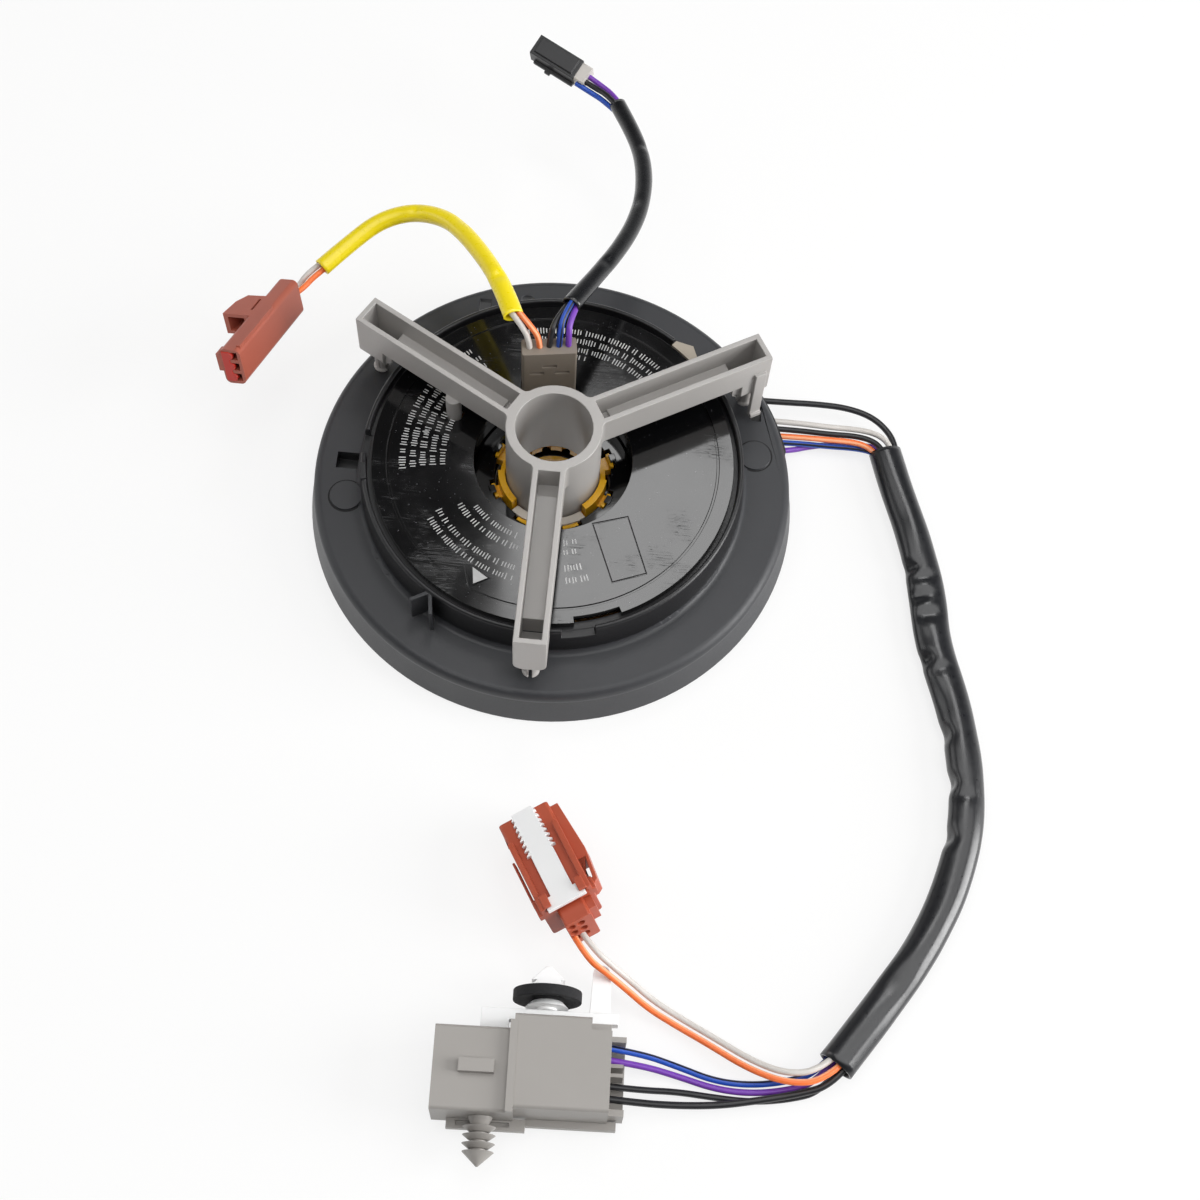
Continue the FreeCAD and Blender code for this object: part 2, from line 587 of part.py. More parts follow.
def arm_pockets():
    """Channel along an arm, the dark recess at its root and the deep pocket in its foot."""
    half = ARM_WIDTH / 2 - ARM_WALL
    top = TUBE_TOP_Z + 1
    channel = block(ARM_ROOT_R, ARM_LENGTH - ARM_WALL, -half, half, ARM_FLOOR_Z, top)
    under = block(ARM_ROOT_R, FOOT_R - 2.4, -half, half, ARM_UNDER_Z - 1, ARM_FLOOR_Z - ARM_FLOOR_WALL)
    recess = block(TUBE_R + 0.4, ARM_ROOT_R + 0.1, -half, half, ARM_FLOOR_Z - 0.8, top)
    pocket = block(POCKET_R, ARM_LENGTH - ARM_WALL, -half, half, FOOT_Z + FOOT_FLOOR_WALL, top)
    return [channel, under, recess, pocket]


def snap_pin():
    """Split pin under a foot, with a thicker tip."""
    outline = [(0, PIN_FOOT_Z), (PIN_R - 0.9, PIN_FOOT_Z), (PIN_R, PIN_FOOT_Z + 1.6),
               (PIN_R - 0.5, PIN_FOOT_Z + 2.4), (PIN_R - 0.5, FOOT_Z + 0.5), (0, FOOT_Z + 0.5)]
    pin = turned(outline)
    split = block(-PIN_R, PIN_R, -PIN_SPLIT / 2, PIN_SPLIT / 2, PIN_FOOT_Z - 1, FOOT_Z - 1.5)
    pin = pin.cut(split)
    pin.translate(V(PIN_CENTRE_R, 0, 0))
    return pin


def hook():
    """Thin spring hook at the side of the right arm's foot."""
    start = ARM_LENGTH - HOOK_INSET
    end = start + HOOK_WIDTH
    side = -ARM_WIDTH / 2 + 0.2
    low = PIN_FOOT_Z + 0.8
    leg = block(start, end, side - HOOK_WALL, side, low, ARM_UNDER_Z + 4)
    toe = block(start, end, side - HOOK_WALL - 0.7, side - 0.3, low, low + 1.4)
    return joined(leg, toe)


def locating_peg():
    """Slotted peg at the left arm's side. It stands in a hole of the disc."""
    x, y = PEG_CENTRE
    peg = disc(PEG_R, PEG_FOOT_Z, ARM_UNDER_Z + 0.5, PEG_CENTRE)
    slot = block(x - PEG_R, x + PEG_R, y - PEG_SLOT / 2, y + PEG_SLOT / 2, PEG_FOOT_Z - 1, PEG_FOOT_Z + 5)
    return peg.cut(slot)


class Lead:
    """A free lead: a round section along straight runs joined by tangent arcs."""

    def __init__(self, node, diameter, route):
        self.node = node
        self.diameter = diameter
        self.points = [V(*p) for p in route]

    def path(self):
        points = self.points
        edges = []
        radii = []
        start = points[0]
        for before, corner, after in zip(points, points[1:], points[2:]):
            back = (before - corner).normalize()
            on = (after - corner).normalize()
            reach = 0.45 * min((before - corner).Length, (after - corner).Length)
            half_turn = (math.pi - back.getAngle(on)) / 2
            radius = reach / math.tan(half_turn)
            radii.append(round(radius, 1))
            centre = corner + (back + on).normalize() * (radius / math.cos(half_turn))
            middle = centre + (corner - centre).normalize() * radius
            first = corner + back * reach
            last = corner + on * reach
            edges.append(Part.LineSegment(start, first).toShape())
            edges.append(Part.Arc(first, middle, last).toShape())
            start = last
        edges.append(Part.LineSegment(start, points[-1]).toShape())
        return Part.Wire(edges), radii

    def make(self):
        wire, radii = self.path()
        heading = self.points[1] - self.points[0]
        circle = Part.makeCircle(self.diameter / 2, self.points[0], heading)
        tube = wire.makePipeShell([Part.Wire([circle])], True, False)
        full = wire.Length * math.pi * self.diameter ** 2 / 4
        print(self.node, "length", round(wire.Length, 1), "least radius", min(radii), "radii", radii,
              "volume over section times length", round(tube.Volume / full, 4))
        save(tube, self.node)


# Exit wires: from the exit block into the mouth of the harness sleeve
EXIT_WIRES = {
    "exit_wire_black_outer": (HEAVY_WIRE_D, [
        (48.4, 31.6, 5.0), (56.0, 32.0, 4.6), (64.6, 32.7, 4.1), (72.6, 32.6, 3.9), (79.4, 30.6, 3.9),
        (84.0, 26.2, 3.9), (85.6, 21.6, 4.0), (86.4, 17.4, 4.0)]),
    "exit_wire_white": (WIRE_D, [
        (51.4, 25.8, 5.2), (59.6, 25.8, 5.4), (68.4, 25.5, 5.3), (76.4, 25.6, 5.3), (81.2, 24.4, 5.5),
        (83.9, 21.6, 5.7), (84.8, 18.0, 5.7)]),
    "exit_wire_black_inner": (WIRE_D, [
        (52.4, 23.2, 5.9), (60.4, 23.7, 5.3), (68.6, 23.8, 4.7), (75.2, 23.9, 4.9), (79.6, 22.7, 5.3),
        (82.0, 20.2, 5.6), (83.0, 16.9, 5.7)]),
    "exit_wire_orange": (WIRE_D, [
        (53.0, 21.9, 4.5), (60.6, 22.1, 4.7), (68.2, 22.1, 4.8), (74.6, 22.3, 4.6), (78.6, 21.4, 4.3),
        (80.9, 19.2, 4.1), (82.2, 16.3, 4.0)]),
    "exit_wire_blue": (WIRE_D, [
        (53.6, 20.2, 4.1), (60.6, 21.0, 3.5), (68.2, 21.2, 3.0), (75.4, 21.6, 2.7), (79.9, 21.1, 2.5),
        (82.3, 18.9, 2.4), (83.4, 15.9, 2.3)]),
    "exit_wire_purple": (WIRE_D, [
        (54.0, 17.9, 3.9), (58.4, 19.1, 2.4), (64.0, 21.6, 1.4), (70.2, 23.1, 1.2), (76.4, 23.4, 1.5),
        (81.4, 22.7, 2.0), (84.0, 20.2, 2.3), (85.0, 16.9, 2.3)]),
}

# Harness sleeve: lies on the surface in a long gentle bend
HARNESS_ROUTE = [
    (82.9, 20.7, 4.0), (86.0, 10.4, 4.0), (91.0, -3.6, 4.0), (94.4, -17.4, 4.0), (96.0, -31.2, 4.0),
    (101.0, -45.4, 4.0), (104.5, -60.2, 4.0), (105.4, -75.2, 4.0), (102.6, -90.0, 4.0),
    (96.2, -105.4, 4.0), (86.6, -120.6, 4.0), (76.0, -135.7, 4.0)]

# Lower wires: four to the body connector, and a pair that crosses over them to the column connector
LOWER_WIRES = {
    "lower_wire_blue": (WIRE_D, [
        (76.1, -132.1, 4.0), (71.9, -137.4, 2.4), (65.2, -139.7, 1.1), (57.4, -141.1, 1.0),
        (49.6, -140.9, 1.1), (41.4, -138.8, 2.3), (33.0, -137.3, 5.0), (24.7, -137.3, 7.6)]),
    "lower_wire_purple": (WIRE_D, [
        (76.9, -132.6, 2.3), (72.5, -139.0, 1.1), (65.6, -141.5, 0.95), (57.6, -142.9, 0.95),
        (49.7, -142.6, 0.95), (41.6, -140.7, 1.3), (33.2, -139.5, 3.4), (24.8, -139.5, 5.6)]),
    "lower_wire_black_thin": (WIRE_D, [
        (78.5, -133.8, 2.3), (73.7, -140.9, 1.0), (66.2, -143.4, 0.95), (58.0, -144.7, 0.95),
        (49.9, -144.5, 0.95), (41.6, -144.1, 1.4), (33.3, -145.0, 3.8), (25.0, -145.3, 6.2)]),
    "lower_wire_black_heavy": (HEAVY_WIRE_D, [
        (79.3, -134.3, 4.0), (75.3, -139.9, 3.1), (67.6, -142.5, 2.7), (59.4, -144.6, 2.8),
        (51.2, -146.4, 2.7), (42.6, -147.4, 3.3), (33.6, -148.1, 5.3), (25.1, -148.2, 7.4)]),
    "lower_wire_orange": (WIRE_D, [
        (78.5, -133.8, 5.7), (73.4, -139.6, 6.5), (65.4, -141.0, 6.3), (56.6, -138.2, 4.4),
        (48.0, -133.4, 2.5), (40.2, -129.6, 1.7), (33.8, -126.6, 2.6), (28.6, -123.4, 5.0),
        (23.8, -121.2, 9.0), (19.2, -118.9, 11.2), (15.3, -112.9, 10.1)]),
    "lower_wire_white": (WIRE_D, [
        (76.9, -132.6, 5.7), (72.1, -137.5, 6.6), (65.0, -139.0, 6.4), (57.3, -136.4, 4.5),
        (49.0, -131.8, 2.6), (41.2, -127.9, 1.7), (34.7, -124.7, 2.6), (29.6, -121.6, 5.0),
        (25.0, -119.3, 8.2), (20.8, -117.0, 11.2), (16.9, -112.2, 10.4)]),
}

# Top leads: short sleeved leads that the plug carries clear of everything around the rotor
TOP_SLEEVES = {
    "yellow_sleeve": (YELLOW_SLEEVE_D, [
        (-12.1, 24.0, 45.0), (-15.4, 32.4, 43.4), (-20.4, 41.6, 41.0), (-26.4, 50.4, 38.2),
        (-32.6, 57.0, 35.6), (-41.0, 60.0, 32.8), (-49.6, 58.0, 30.2), (-56.3, 52.0, 28.0),
        (-62.5, 45.2, 26.2)]),
    "black_sleeve": (BLACK_SLEEVE_D, [
        (1.0, 28.6, 45.0), (5.8, 38.4, 42.4), (10.8, 49.1, 39.4), (14.5, 60.7, 36.2), (15.8, 72.7, 33.2),
        (14.6, 84.4, 30.8), (11.2, 94.7, 28.6), (6.6, 104.0, 27.2)]),
}

TOP_WIRES = {
    "plug_wire_white": [(-7.7, 19.2, 37.6), (-7.8, 19.4, 42.4), (-10.2, 21.8, 45.2), (-13.6, 25.9, 45.0)],
    "plug_wire_orange": [(-5.4, 19.6, 37.6), (-5.4, 19.8, 42.6), (-7.9, 21.4, 45.6), (-12.0, 26.4, 45.0)],
    "plug_wire_black": [(-3.2, 19.9, 37.6), (-3.1, 20.4, 42.8), (-1.9, 24.6, 45.2), (1.2, 30.7, 44.0)],
    "plug_wire_blue": [(-0.9, 20.3, 37.6), (-0.8, 20.8, 43.4), (-0.3, 25.0, 46.2), (2.0, 30.6, 45.5)],
    "plug_wire_purple": [(1.4, 20.7, 37.6), (1.3, 21.0, 42.4), (1.3, 24.6, 45.0), (2.8, 29.9, 44.0)],
    "airbag_wire_orange": [
        (-60.3, 46.8, 26.2), (-64.4, 42.9, 25.2), (-66.4, 39.9, 24.4), (-68.9, 35.8, 26.0)],
    "airbag_wire_white": [
        (-61.4, 48.1, 26.2), (-66.0, 43.9, 25.4), (-68.4, 40.9, 22.4), (-70.5, 35.2, 23.6)],
    "switch_wire_purple": [(8.3, 102.6, 27.4), (5.2, 107.2, 26.9), (1.9, 110.0, 26.7), (-3.2, 113.2, 27.4)],
    "switch_wire_black": [(7.2, 101.8, 28.4), (3.6, 106.4, 27.8), (0.4, 108.8, 26.9), (-4.0, 111.6, 27.0)],
    "switch_wire_blue": [(6.6, 101.8, 26.6), (2.6, 105.8, 26.2), (-0.6, 107.9, 26.0), (-4.9, 110.2, 26.6)],
}


def placed(shape, centre, turn):
    """Move a piece from its own axes to its place. turn is yaw, pitch and roll in degrees."""
    copy = shape.copy()
    copy.Placement = FreeCAD.Placement(V(*centre), FreeCAD.Rotation(*turn))
    return copy


# Airbag connector: its own X axis points to the wires, Z up
AIRBAG_CENTRE = (-73.3, 22.9, 30.0)
AIRBAG_TURN = (74.6, 21.5, -16.4)
AIRBAG_LENGTH = 32.5
AIRBAG_WIDTH = 5.4
AIRBAG_HEIGHT = 9.4
AIRBAG_CORNER = 1.4
AIRBAG_CAVITY = ((-1.9, 0.6), 1.0)
AIRBAG_CAVITY_DEPTH = 8.0
AIRBAG_ROW = (-2.9, 0.0, 2.9)
AIRBAG_STRIP = (0.3, 2.2)
AIRBAG_LOBE_R = 1.0
AIRBAG_LOCK_WALL = 0.8
AIRBAG_LOCK_FIT = 0.05
AIRBAG_CONTACT_GAP = 0.15
AIRBAG_LOOP_HEIGHT = 5.6
AIRBAG_LOOP = ((8.0, 2.0), (7.8, 6.6), (4.6, 8.4), (-1.1, 9.2), (-1.1, 2.0))
AIRBAG_LOOP_HOLLOW = ((5.6, 3.6), (5.4, 6.3), (3.8, 7.3), (-2.0, 8.2), (-2.0, 3.6))


def airbag_connector():
    """Slim body with a rib along its top edge and a hollow latch loop at its side."""
    length, width, height = AIRBAG_LENGTH / 2, AIRBAG_WIDTH / 2, AIRBAG_HEIGHT / 2
    body = block(-length, length, -width, width, -height, height)
    body = body.makeFillet(AIRBAG_CORNER, [e for e in body.Edges if e.BoundBox.XLength > 1])
    rib = block(-length + 1.5, length - 13.0, -width + 0.3, -width + 1.3, height - 1.2, height + 0.4)
    loop = slab(list(AIRBAG_LOOP), height - AIRBAG_LOOP_HEIGHT, height)
    bridge = block(-1.1, 8.0, 0.5, width, height - AIRBAG_LOOP_HEIGHT, height)
    tab = block(-length, -length + 3.4, width - 0.4, width + 1.1, -1.4, 3.2)
    body = joined(body, bridge, loop, rib, tab)
    cuts = [slab(list(AIRBAG_LOOP_HOLLOW), height - 4.8, height - 0.9)]
    cuts.append(block(1.5, 6.5, width - 0.4, width + 0.2, height - 2.0, height + 1))
    (near, far), up = AIRBAG_CAVITY
    end = -length + AIRBAG_CAVITY_DEPTH
    for middle in AIRBAG_ROW:
        cuts.append(block(-length - 1, end, near, far, middle - up, middle + up))
    cuts.append(airbag_strip(-length - 1, -length + AIRBAG_LOCK_WALL, AIRBAG_LOCK_FIT))
    return body.cut(cuts)


def airbag_strip(front, back, margin):
    """Strip with three round lobes, from one depth to another."""
    reach = AIRBAG_HEIGHT / 2 - AIRBAG_CORNER - 0.2 + margin
    near, far = AIRBAG_STRIP
    strip = block(front, back, near - margin, far + margin, -reach - 0.9, reach + 0.9)
    lobes = [Part.makeCylinder(AIRBAG_LOBE_R + margin, back - front, V(front, near, middle), V(1, 0, 0))
             for middle in AIRBAG_ROW]
    return joined(strip, *lobes)


def airbag_connector_lock():
    """Lock strip on the mating face. Its lobes cover a part of each cavity."""
    face = -AIRBAG_LENGTH / 2
    return airbag_strip(face - 0.2, face + AIRBAG_LOCK_WALL, 0.0)


def airbag_contacts():
    """Box contacts at the bottom of the cavities."""
    end = -AIRBAG_LENGTH / 2 + AIRBAG_CAVITY_DEPTH
    (near, far), up = AIRBAG_CAVITY
    near += AIRBAG_CONTACT_GAP
    far -= AIRBAG_CONTACT_GAP
    up -= AIRBAG_CONTACT_GAP
    wall = 0.3
    contacts = []
    for middle in AIRBAG_ROW:
        shell = block(end - 4.5, end, near, far, middle - up, middle + up)
        hole = block(end - 5, end - 1, near + wall, far - wall, middle - up + wall, middle + up - wall)
        contacts.append(shell.cut(hole))
    return Part.makeCompound(contacts)


# Switch connector
SWITCH_CENTRE = (-9.1, 115.4, 28.0)
SWITCH_TURN = (-26.9, 7.1, 17.9)
SWITCH_LENGTH = 16.5
SWITCH_WIDTH = 5.7
SWITCH_HEIGHT = 5.8
SWITCH_REAR = 3.0
SWITCH_ROW = (-1.9, 0.0, 1.9)
SWITCH_CAVITY_DEPTH = 6.0
SWITCH_CAVITY_WIDTH = 1.4
SWITCH_CONTACT_GAP = 0.1


def switch_connector():
    length, width, height = SWITCH_LENGTH / 2, SWITCH_WIDTH / 2, SWITCH_HEIGHT / 2
    body = block(-length, length - SWITCH_REAR, -width, width, -height, height - 0.6)
    top = block(-length + 1.0, length - SWITCH_REAR - 1.0, -width + 0.8, width - 0.6, height - 0.6, height)
    ledge = block(-length + 1.4, length - SWITCH_REAR, -width - 0.8, -width, -height + 0.6, -height + 1.8)
    nub = block(-3.0, -1.4, -width - 1.5, -width - 0.8, -height + 0.6, -height + 1.8)
    body = joined(body, top, ledge, nub)
    cuts = []
    half = SWITCH_CAVITY_WIDTH / 2
    floor = -length + SWITCH_CAVITY_DEPTH
    for across in SWITCH_ROW:
        cuts.append(block(-length - 1, floor, across - half, across + half, -1.9, 1.5))
    return body.cut(cuts)


def switch_connector_rear():
    """Pale rear holder that keeps the contacts in."""
    start = SWITCH_LENGTH / 2 - SWITCH_REAR
    body = block(start, SWITCH_LENGTH / 2, -SWITCH_WIDTH / 2 + 0.3, SWITCH_WIDTH / 2 - 0.3,
                 -SWITCH_HEIGHT / 2 + 0.3, SWITCH_HEIGHT / 2 - 0.9)
    return body.makeFillet(0.5, [e for e in body.Edges if e.BoundBox.XLength > 1])


def switch_contacts():
    end = -SWITCH_LENGTH / 2 + SWITCH_CAVITY_DEPTH
    half = SWITCH_CAVITY_WIDTH / 2 - SWITCH_CONTACT_GAP
    hole = half - 0.25
    contacts = []
    for across in SWITCH_ROW:
        shell = block(end - 4, end, across - half, across + half, -1.2, 0.8)
        contacts.append(shell.cut(block(end - 5, end - 1, across - hole, across + hole, -0.8, 0.4)))
    return Part.makeCompound(contacts)


# Column connector, with its rear plug block and the fir-tree clip on top
COLUMN_CENTRE = (9.5, -99.2, 10.2)
COLUMN_TURN = (-60.2, -13.0, 10.0)
COLUMN_LENGTH = 26.4
COLUMN_WIDTH = 12.4
COLUMN_HEIGHT = 11.0
COLUMN_SOCKET_DEPTH = 9.0
COLUMN_SOCKET_WIDTH = 8.8
COLUMN_SOCKET_HEIGHT = 7.8
COLUMN_REAR_START = 11.8
COLUMN_REAR_END = 16.2
COLUMN_TEETH = 8
COLUMN_TOOTH_PITCH = 1.4


def column_connector():
    length, width, height = COLUMN_LENGTH / 2, COLUMN_WIDTH / 2, COLUMN_HEIGHT / 2
    rear = COLUMN_REAR_START
    body = block(-length, rear, -width, width, -height, height)
    body = body.makeFillet(0.8, [e for e in body.Edges if e.BoundBox.XLength > 1])
    latch = slab([(-12.2, width - 0.5), (-12.2, width + 1.9), (1.0, width + 2.8), (9.6, width + 2.0),
                  (10.4, width + 0.8), (10.4, width - 0.5)], -1.4, 4.2)
    spring_arm = block(-5.0, 7.8, -width - 1.1, -width - 0.5, -1.0, 2.0)
    arm_root = block(5.8, 7.8, -width - 0.6, -width + 0.4, -1.0, 2.0)
    guides = []
    for side in (-1, 1):
        rail = sorted((side * (width - 1.3), side * width))
        lip = sorted((side * (width - 2.8), side * (width - 1.0)))
        foot = sorted((side * (width - 1.3), side * (width + 0.9)))
        guides.append(block(-7.0, rear, *rail, height - 1.0, height + 1.6))
        guides.append(block(rear - 3.4, rear, *lip, height + 1.3, height + 2.1))
        guides.append(block(rear - 4.0, rear, *foot, height - 2.6, height - 0.4))
    body = joined(body, latch, spring_arm, arm_root, *guides)
    across = COLUMN_SOCKET_WIDTH / 2
    up = COLUMN_SOCKET_HEIGHT / 2
    socket = block(-length - 1, -length + COLUMN_SOCKET_DEPTH, -across, across, -up, up)
    slot = slab([(3.4, width + 0.3), (3.4, width + 1.8), (8.6, width + 1.2), (8.6, width + 0.3)], -3, height)
    return body.cut([socket, slot])


def column_connector_rear():
    """Holder on the wire end, with two columns of wire holes and a flap at its side."""
    body = block(COLUMN_REAR_START, COLUMN_REAR_END, -3.0, 3.4, -6.4, 4.0)
    body = body.makeFillet(0.7, [e for e in body.Edges if e.BoundBox.XLength > 1])
    flap = block(COLUMN_REAR_START, COLUMN_REAR_START + 3.0, 2.4, 5.2, -2.5, 3.2)
    holes = []
    for across in (-1.8, 0.5):
        for up in (1.9, -0.9, -3.6):
            holes.append(Part.makeCylinder(0.9, 3, V(COLUMN_REAR_END - 2, across, up), V(1, 0, 0)))
    return joined(body, flap).cut(holes)


def column_contacts():
    """Contact blades that stand out of the socket's floor."""
    start = -COLUMN_LENGTH / 2 + COLUMN_SOCKET_DEPTH
    blades = []
    for across in (-2.8, 0.0, 2.8):
        for up in (-1.7, 1.7):
            blades.append(block(start - 2.6, start, across - 0.5, across + 0.5, up - 0.25, up + 0.25))
    return Part.makeCompound(blades)


def column_clip():
    """Flat clip on top of the connector: fine teeth at its free end, a band at the other."""
    low = COLUMN_HEIGHT / 2
    high = low + 1.2
    start = -COLUMN_LENGTH / 2 - 0.2
    plate = block(start, -1.5, -2.5, 2.5, low, high)
    shaft = block(-1.6, COLUMN_REAR_START - 2.4, -2.7, 2.7, low, high)
    band = block(COLUMN_REAR_START - 2.5, COLUMN_REAR_START + 0.6, -4.7, 4.7, low, high)
    teeth = []
    for k in range(COLUMN_TEETH):
        x = start + 0.4 + COLUMN_TOOTH_PITCH * k
        wide = 3.1 + 0.08 * k
        teeth.append(slab([(x, -2.3), (x + 1.2, -wide), (x + 1.2, wide), (x, 2.3)], low, high))
    return joined(plate, shaft, band, *teeth)


# Body connector: grey, with its bracket, washer and fasteners
BODY_CENTRE = (8.5, -144.5, 0.0)
BODY_TURN = (2.2, 0.0, 0.0)
BODY_LEFT = -20.0
BODY_SPLIT = -3.0
BODY_RIGHT = 19.6
BODY_SOCKET_DEPTH = 9.0
CLIP_X = 3.6
CLIP_Z = 8.2
FIR_X = -9.2
BRACKET_Y = 13.6
WASHER_Y = 15.6
WASHER_WALL = 2.4


def body_connector():
    left = block(BODY_LEFT, BODY_SPLIT, -9.9, 8.2, 1.2, 15.0)
    left = left.makeFillet(0.8, [e for e in left.Edges if e.BoundBox.XLength > 1])
    right = block(BODY_SPLIT, BODY_RIGHT - 1.6, -8.9, 11.2, 0.4, 16.0)
    right = right.makeFillet(0.8, [e for e in right.Edges if e.BoundBox.XLength > 1])
    tray = block(BODY_RIGHT - 5.0, BODY_RIGHT + 1.8, -8.2, 8.8, 0.6, 8.6)
    collar = block(BODY_SPLIT - 0.9, BODY_SPLIT + 0.7, -9.9, 9.6, 1.0, 16.6)
    bump = block(-14.4, -6.8, -2.0, 0.8, 14.8, 16.9)
    flange = block(0.4, BODY_RIGHT + 0.4, -10.4, -8.5, 1.0, 3.2)
    foot_plate = block(-16.6, 0.4, -12.0, -9.5, 3.4, 5.4)
    socket_mouth = block(BODY_LEFT - 1, BODY_LEFT + BODY_SOCKET_DEPTH, -8.3, 6.6, 3.0, 13.2)
    hollow = block(BODY_RIGHT - 2.6, BODY_RIGHT + 3, -6.8, 7.6, 2.2, 13.2)
    corner = block(BODY_RIGHT - 6.0, BODY_RIGHT, 8.4, 12.0, 9.4, 17.0)
    recesses = [block(-14.6 + 7.2 * k, -10.2 + 7.2 * k, -11.3, -10.3, 4.6, 6.0) for k in range(2)]
    body = joined(left, right, tray, collar, bump, flange, foot_plate)
    body = body.cut([socket_mouth, hollow, corner] + recesses)
    ribs = [block(BODY_RIGHT - 3.0, BODY_RIGHT + 1.4, y, y + 0.8, 1.8, 8.0) for y in (0.2, 2.2)]
    return joined(body, *ribs)


def body_contacts():
    """Contact pins that stand out of the socket's floor."""
    start = BODY_LEFT + BODY_SOCKET_DEPTH
    pins = []
    for across in (-5.6, -2.6, 0.4, 3.4):
        for up in (5.8, 10.4):
            pins.append(block(start - 3.2, start, across - 0.4, across + 0.4, up - 0.4, up + 0.4))
    return Part.makeCompound(pins)


def connector_bracket():
    """White carrier along the connector's back, with a finger that points away from it."""
    plate = block(-10.6, BODY_RIGHT - 0.2, 11.2, 13.6, CLIP_Z - 2.2, CLIP_Z + 1.2)
    leg = block(-10.6, -4.4, 8.2, 11.6, CLIP_Z - 2.2, CLIP_Z + 1.2)
    finger = slab([(13.0, 13.2), (17.6, 13.2), (17.3, 22.8), ((15.35, 24.8), (13.4, 22.8))],
                  CLIP_Z - 2.2, CLIP_Z - 1.4)
    return joined(plate, leg, finger)


def foam_washer():
    """Dished washer that the clip's petals press away from the bracket."""
    start = WASHER_Y
    body = Part.makeCylinder(7.6, WASHER_WALL, V(CLIP_X, start, CLIP_Z), V(0, 1, 0))
    dish = Part.makeCone(6.6, 3.6, 0.9, V(CLIP_X, start, CLIP_Z), V(0, 1, 0))
    hole = Part.makeCylinder(2.35, 4, V(CLIP_X, start - 0.5, CLIP_Z), V(0, 1, 0))
    return body.cut([dish.cut(Part.makeCylinder(3.6, 2, V(CLIP_X, start, CLIP_Z), V(0, 1, 0))), hole])


def arrow_clip():
    """Push-in clip: stem through the washer, petals, and an arrow head with two barbs a side."""
    start = BRACKET_Y
    stem = Part.makeCylinder(2.3, 5.4, V(CLIP_X, start, CLIP_Z), V(0, 1, 0))
    petals = Part.makeCone(4.8, 3.4, 1.4, V(CLIP_X, WASHER_Y - 1.4, CLIP_Z), V(0, 1, 0))
    half = [(4.1, 5.0), (2.6, 6.5), (3.7, 6.5), (0.6, 9.6)]
    outline = [(CLIP_X + x, start + y) for x, y in half]
    outline += [(CLIP_X - x, start + y) for x, y in reversed(half)]
    head = slab(outline, CLIP_Z - 1.6, CLIP_Z + 1.6)
    return joined(stem, petals, head)


def fir_tree_fastener():
    """Round fir-tree clip in the connector's front, with three fins and a cone tip."""
    start = -12.0
    back = V(0, -1, 0)
    stem = Part.makeCylinder(1.5, 6.6, V(FIR_X, start + 1.0, CLIP_Z), back)
    root = Part.makeCone(2.7, 1.8, 1.9, V(FIR_X, start + 2.1, CLIP_Z), back)
    fins = []
    for offset in (0.0, 1.7, 3.5):
        fins.append(Part.makeCone(3.65, 2.2, 1.1, V(FIR_X, start - offset, CLIP_Z), back))
    tip = Part.makeCone(3.5, 0.2, 3.1, V(FIR_X, start - 5.2, CLIP_Z), back)
    return joined(stem, root, tip, *fins)


save(outer_housing(), "outer_housing")
save(base_cover(), "base_cover")
save(exit_block(), "lead_exit_block")
save(ring(HUB_R + 0.6, RING_INNER_R - 1.4, CASSETTE_FOOT_Z, FILM_TOP_Z), "slip_film")
save(ribbon_cable(), "ribbon_cable")
save(ribbon_terminal(), "ribbon_terminal")
save(inner_terminal(), "inner_terminal")
save(rotor_hub(), "rotor_hub")
save(rotor_disc(), "rotor_disc")
save(rotor_plug(), "rotor_plug")
save(lock_ring(), "lock_ring")
save(lock_ring_cap(), "lock_ring_cap")
save(retainer_ring(), "retainer_ring")
save(lock_spring(), "lock_spring")
save(shipping_lock(), "shipping_lock")

save(placed(airbag_connector(), AIRBAG_CENTRE, AIRBAG_TURN), "airbag_connector")
save(placed(airbag_connector_lock(), AIRBAG_CENTRE, AIRBAG_TURN), "airbag_connector_lock")
save(placed(airbag_contacts(), AIRBAG_CENTRE, AIRBAG_TURN), "airbag_contacts")
save(placed(switch_connector(), SWITCH_CENTRE, SWITCH_TURN), "switch_connector")
save(placed(switch_connector_rear(), SWITCH_CENTRE, SWITCH_TURN), "switch_connector_rear")
save(placed(switch_contacts(), SWITCH_CENTRE, SWITCH_TURN), "switch_contacts")
save(placed(column_connector(), COLUMN_CENTRE, COLUMN_TURN), "column_connector")
save(placed(column_connector_rear(), COLUMN_CENTRE, COLUMN_TURN), "column_connector_rear")
save(placed(column_contacts(), COLUMN_CENTRE, COLUMN_TURN), "column_contacts")
save(placed(column_clip(), COLUMN_CENTRE, COLUMN_TURN), "column_clip")
save(placed(body_connector(), BODY_CENTRE, BODY_TURN), "body_connector")
save(placed(body_contacts(), BODY_CENTRE, BODY_TURN), "body_contacts")
save(placed(connector_bracket(), BODY_CENTRE, BODY_TURN), "connector_bracket")
save(placed(foam_washer(), BODY_CENTRE, BODY_TURN), "foam_washer")
save(placed(arrow_clip(), BODY_CENTRE, BODY_TURN), "arrow_clip")
save(placed(fir_tree_fastener(), BODY_CENTRE, BODY_TURN), "fir_tree_fastener")

for name, (diameter, route) in {**EXIT_WIRES, **LOWER_WIRES, **TOP_SLEEVES}.items():
    Lead(name, diameter, route).make()
Lead("harness_sleeve", HARNESS_SLEEVE_D, HARNESS_ROUTE).make()
for name, route in TOP_WIRES.items():
    Lead(name, WIRE_D, route).make()
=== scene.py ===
import math
import random

import bmesh
import bpy
from mathutils import Matrix, Vector, noise


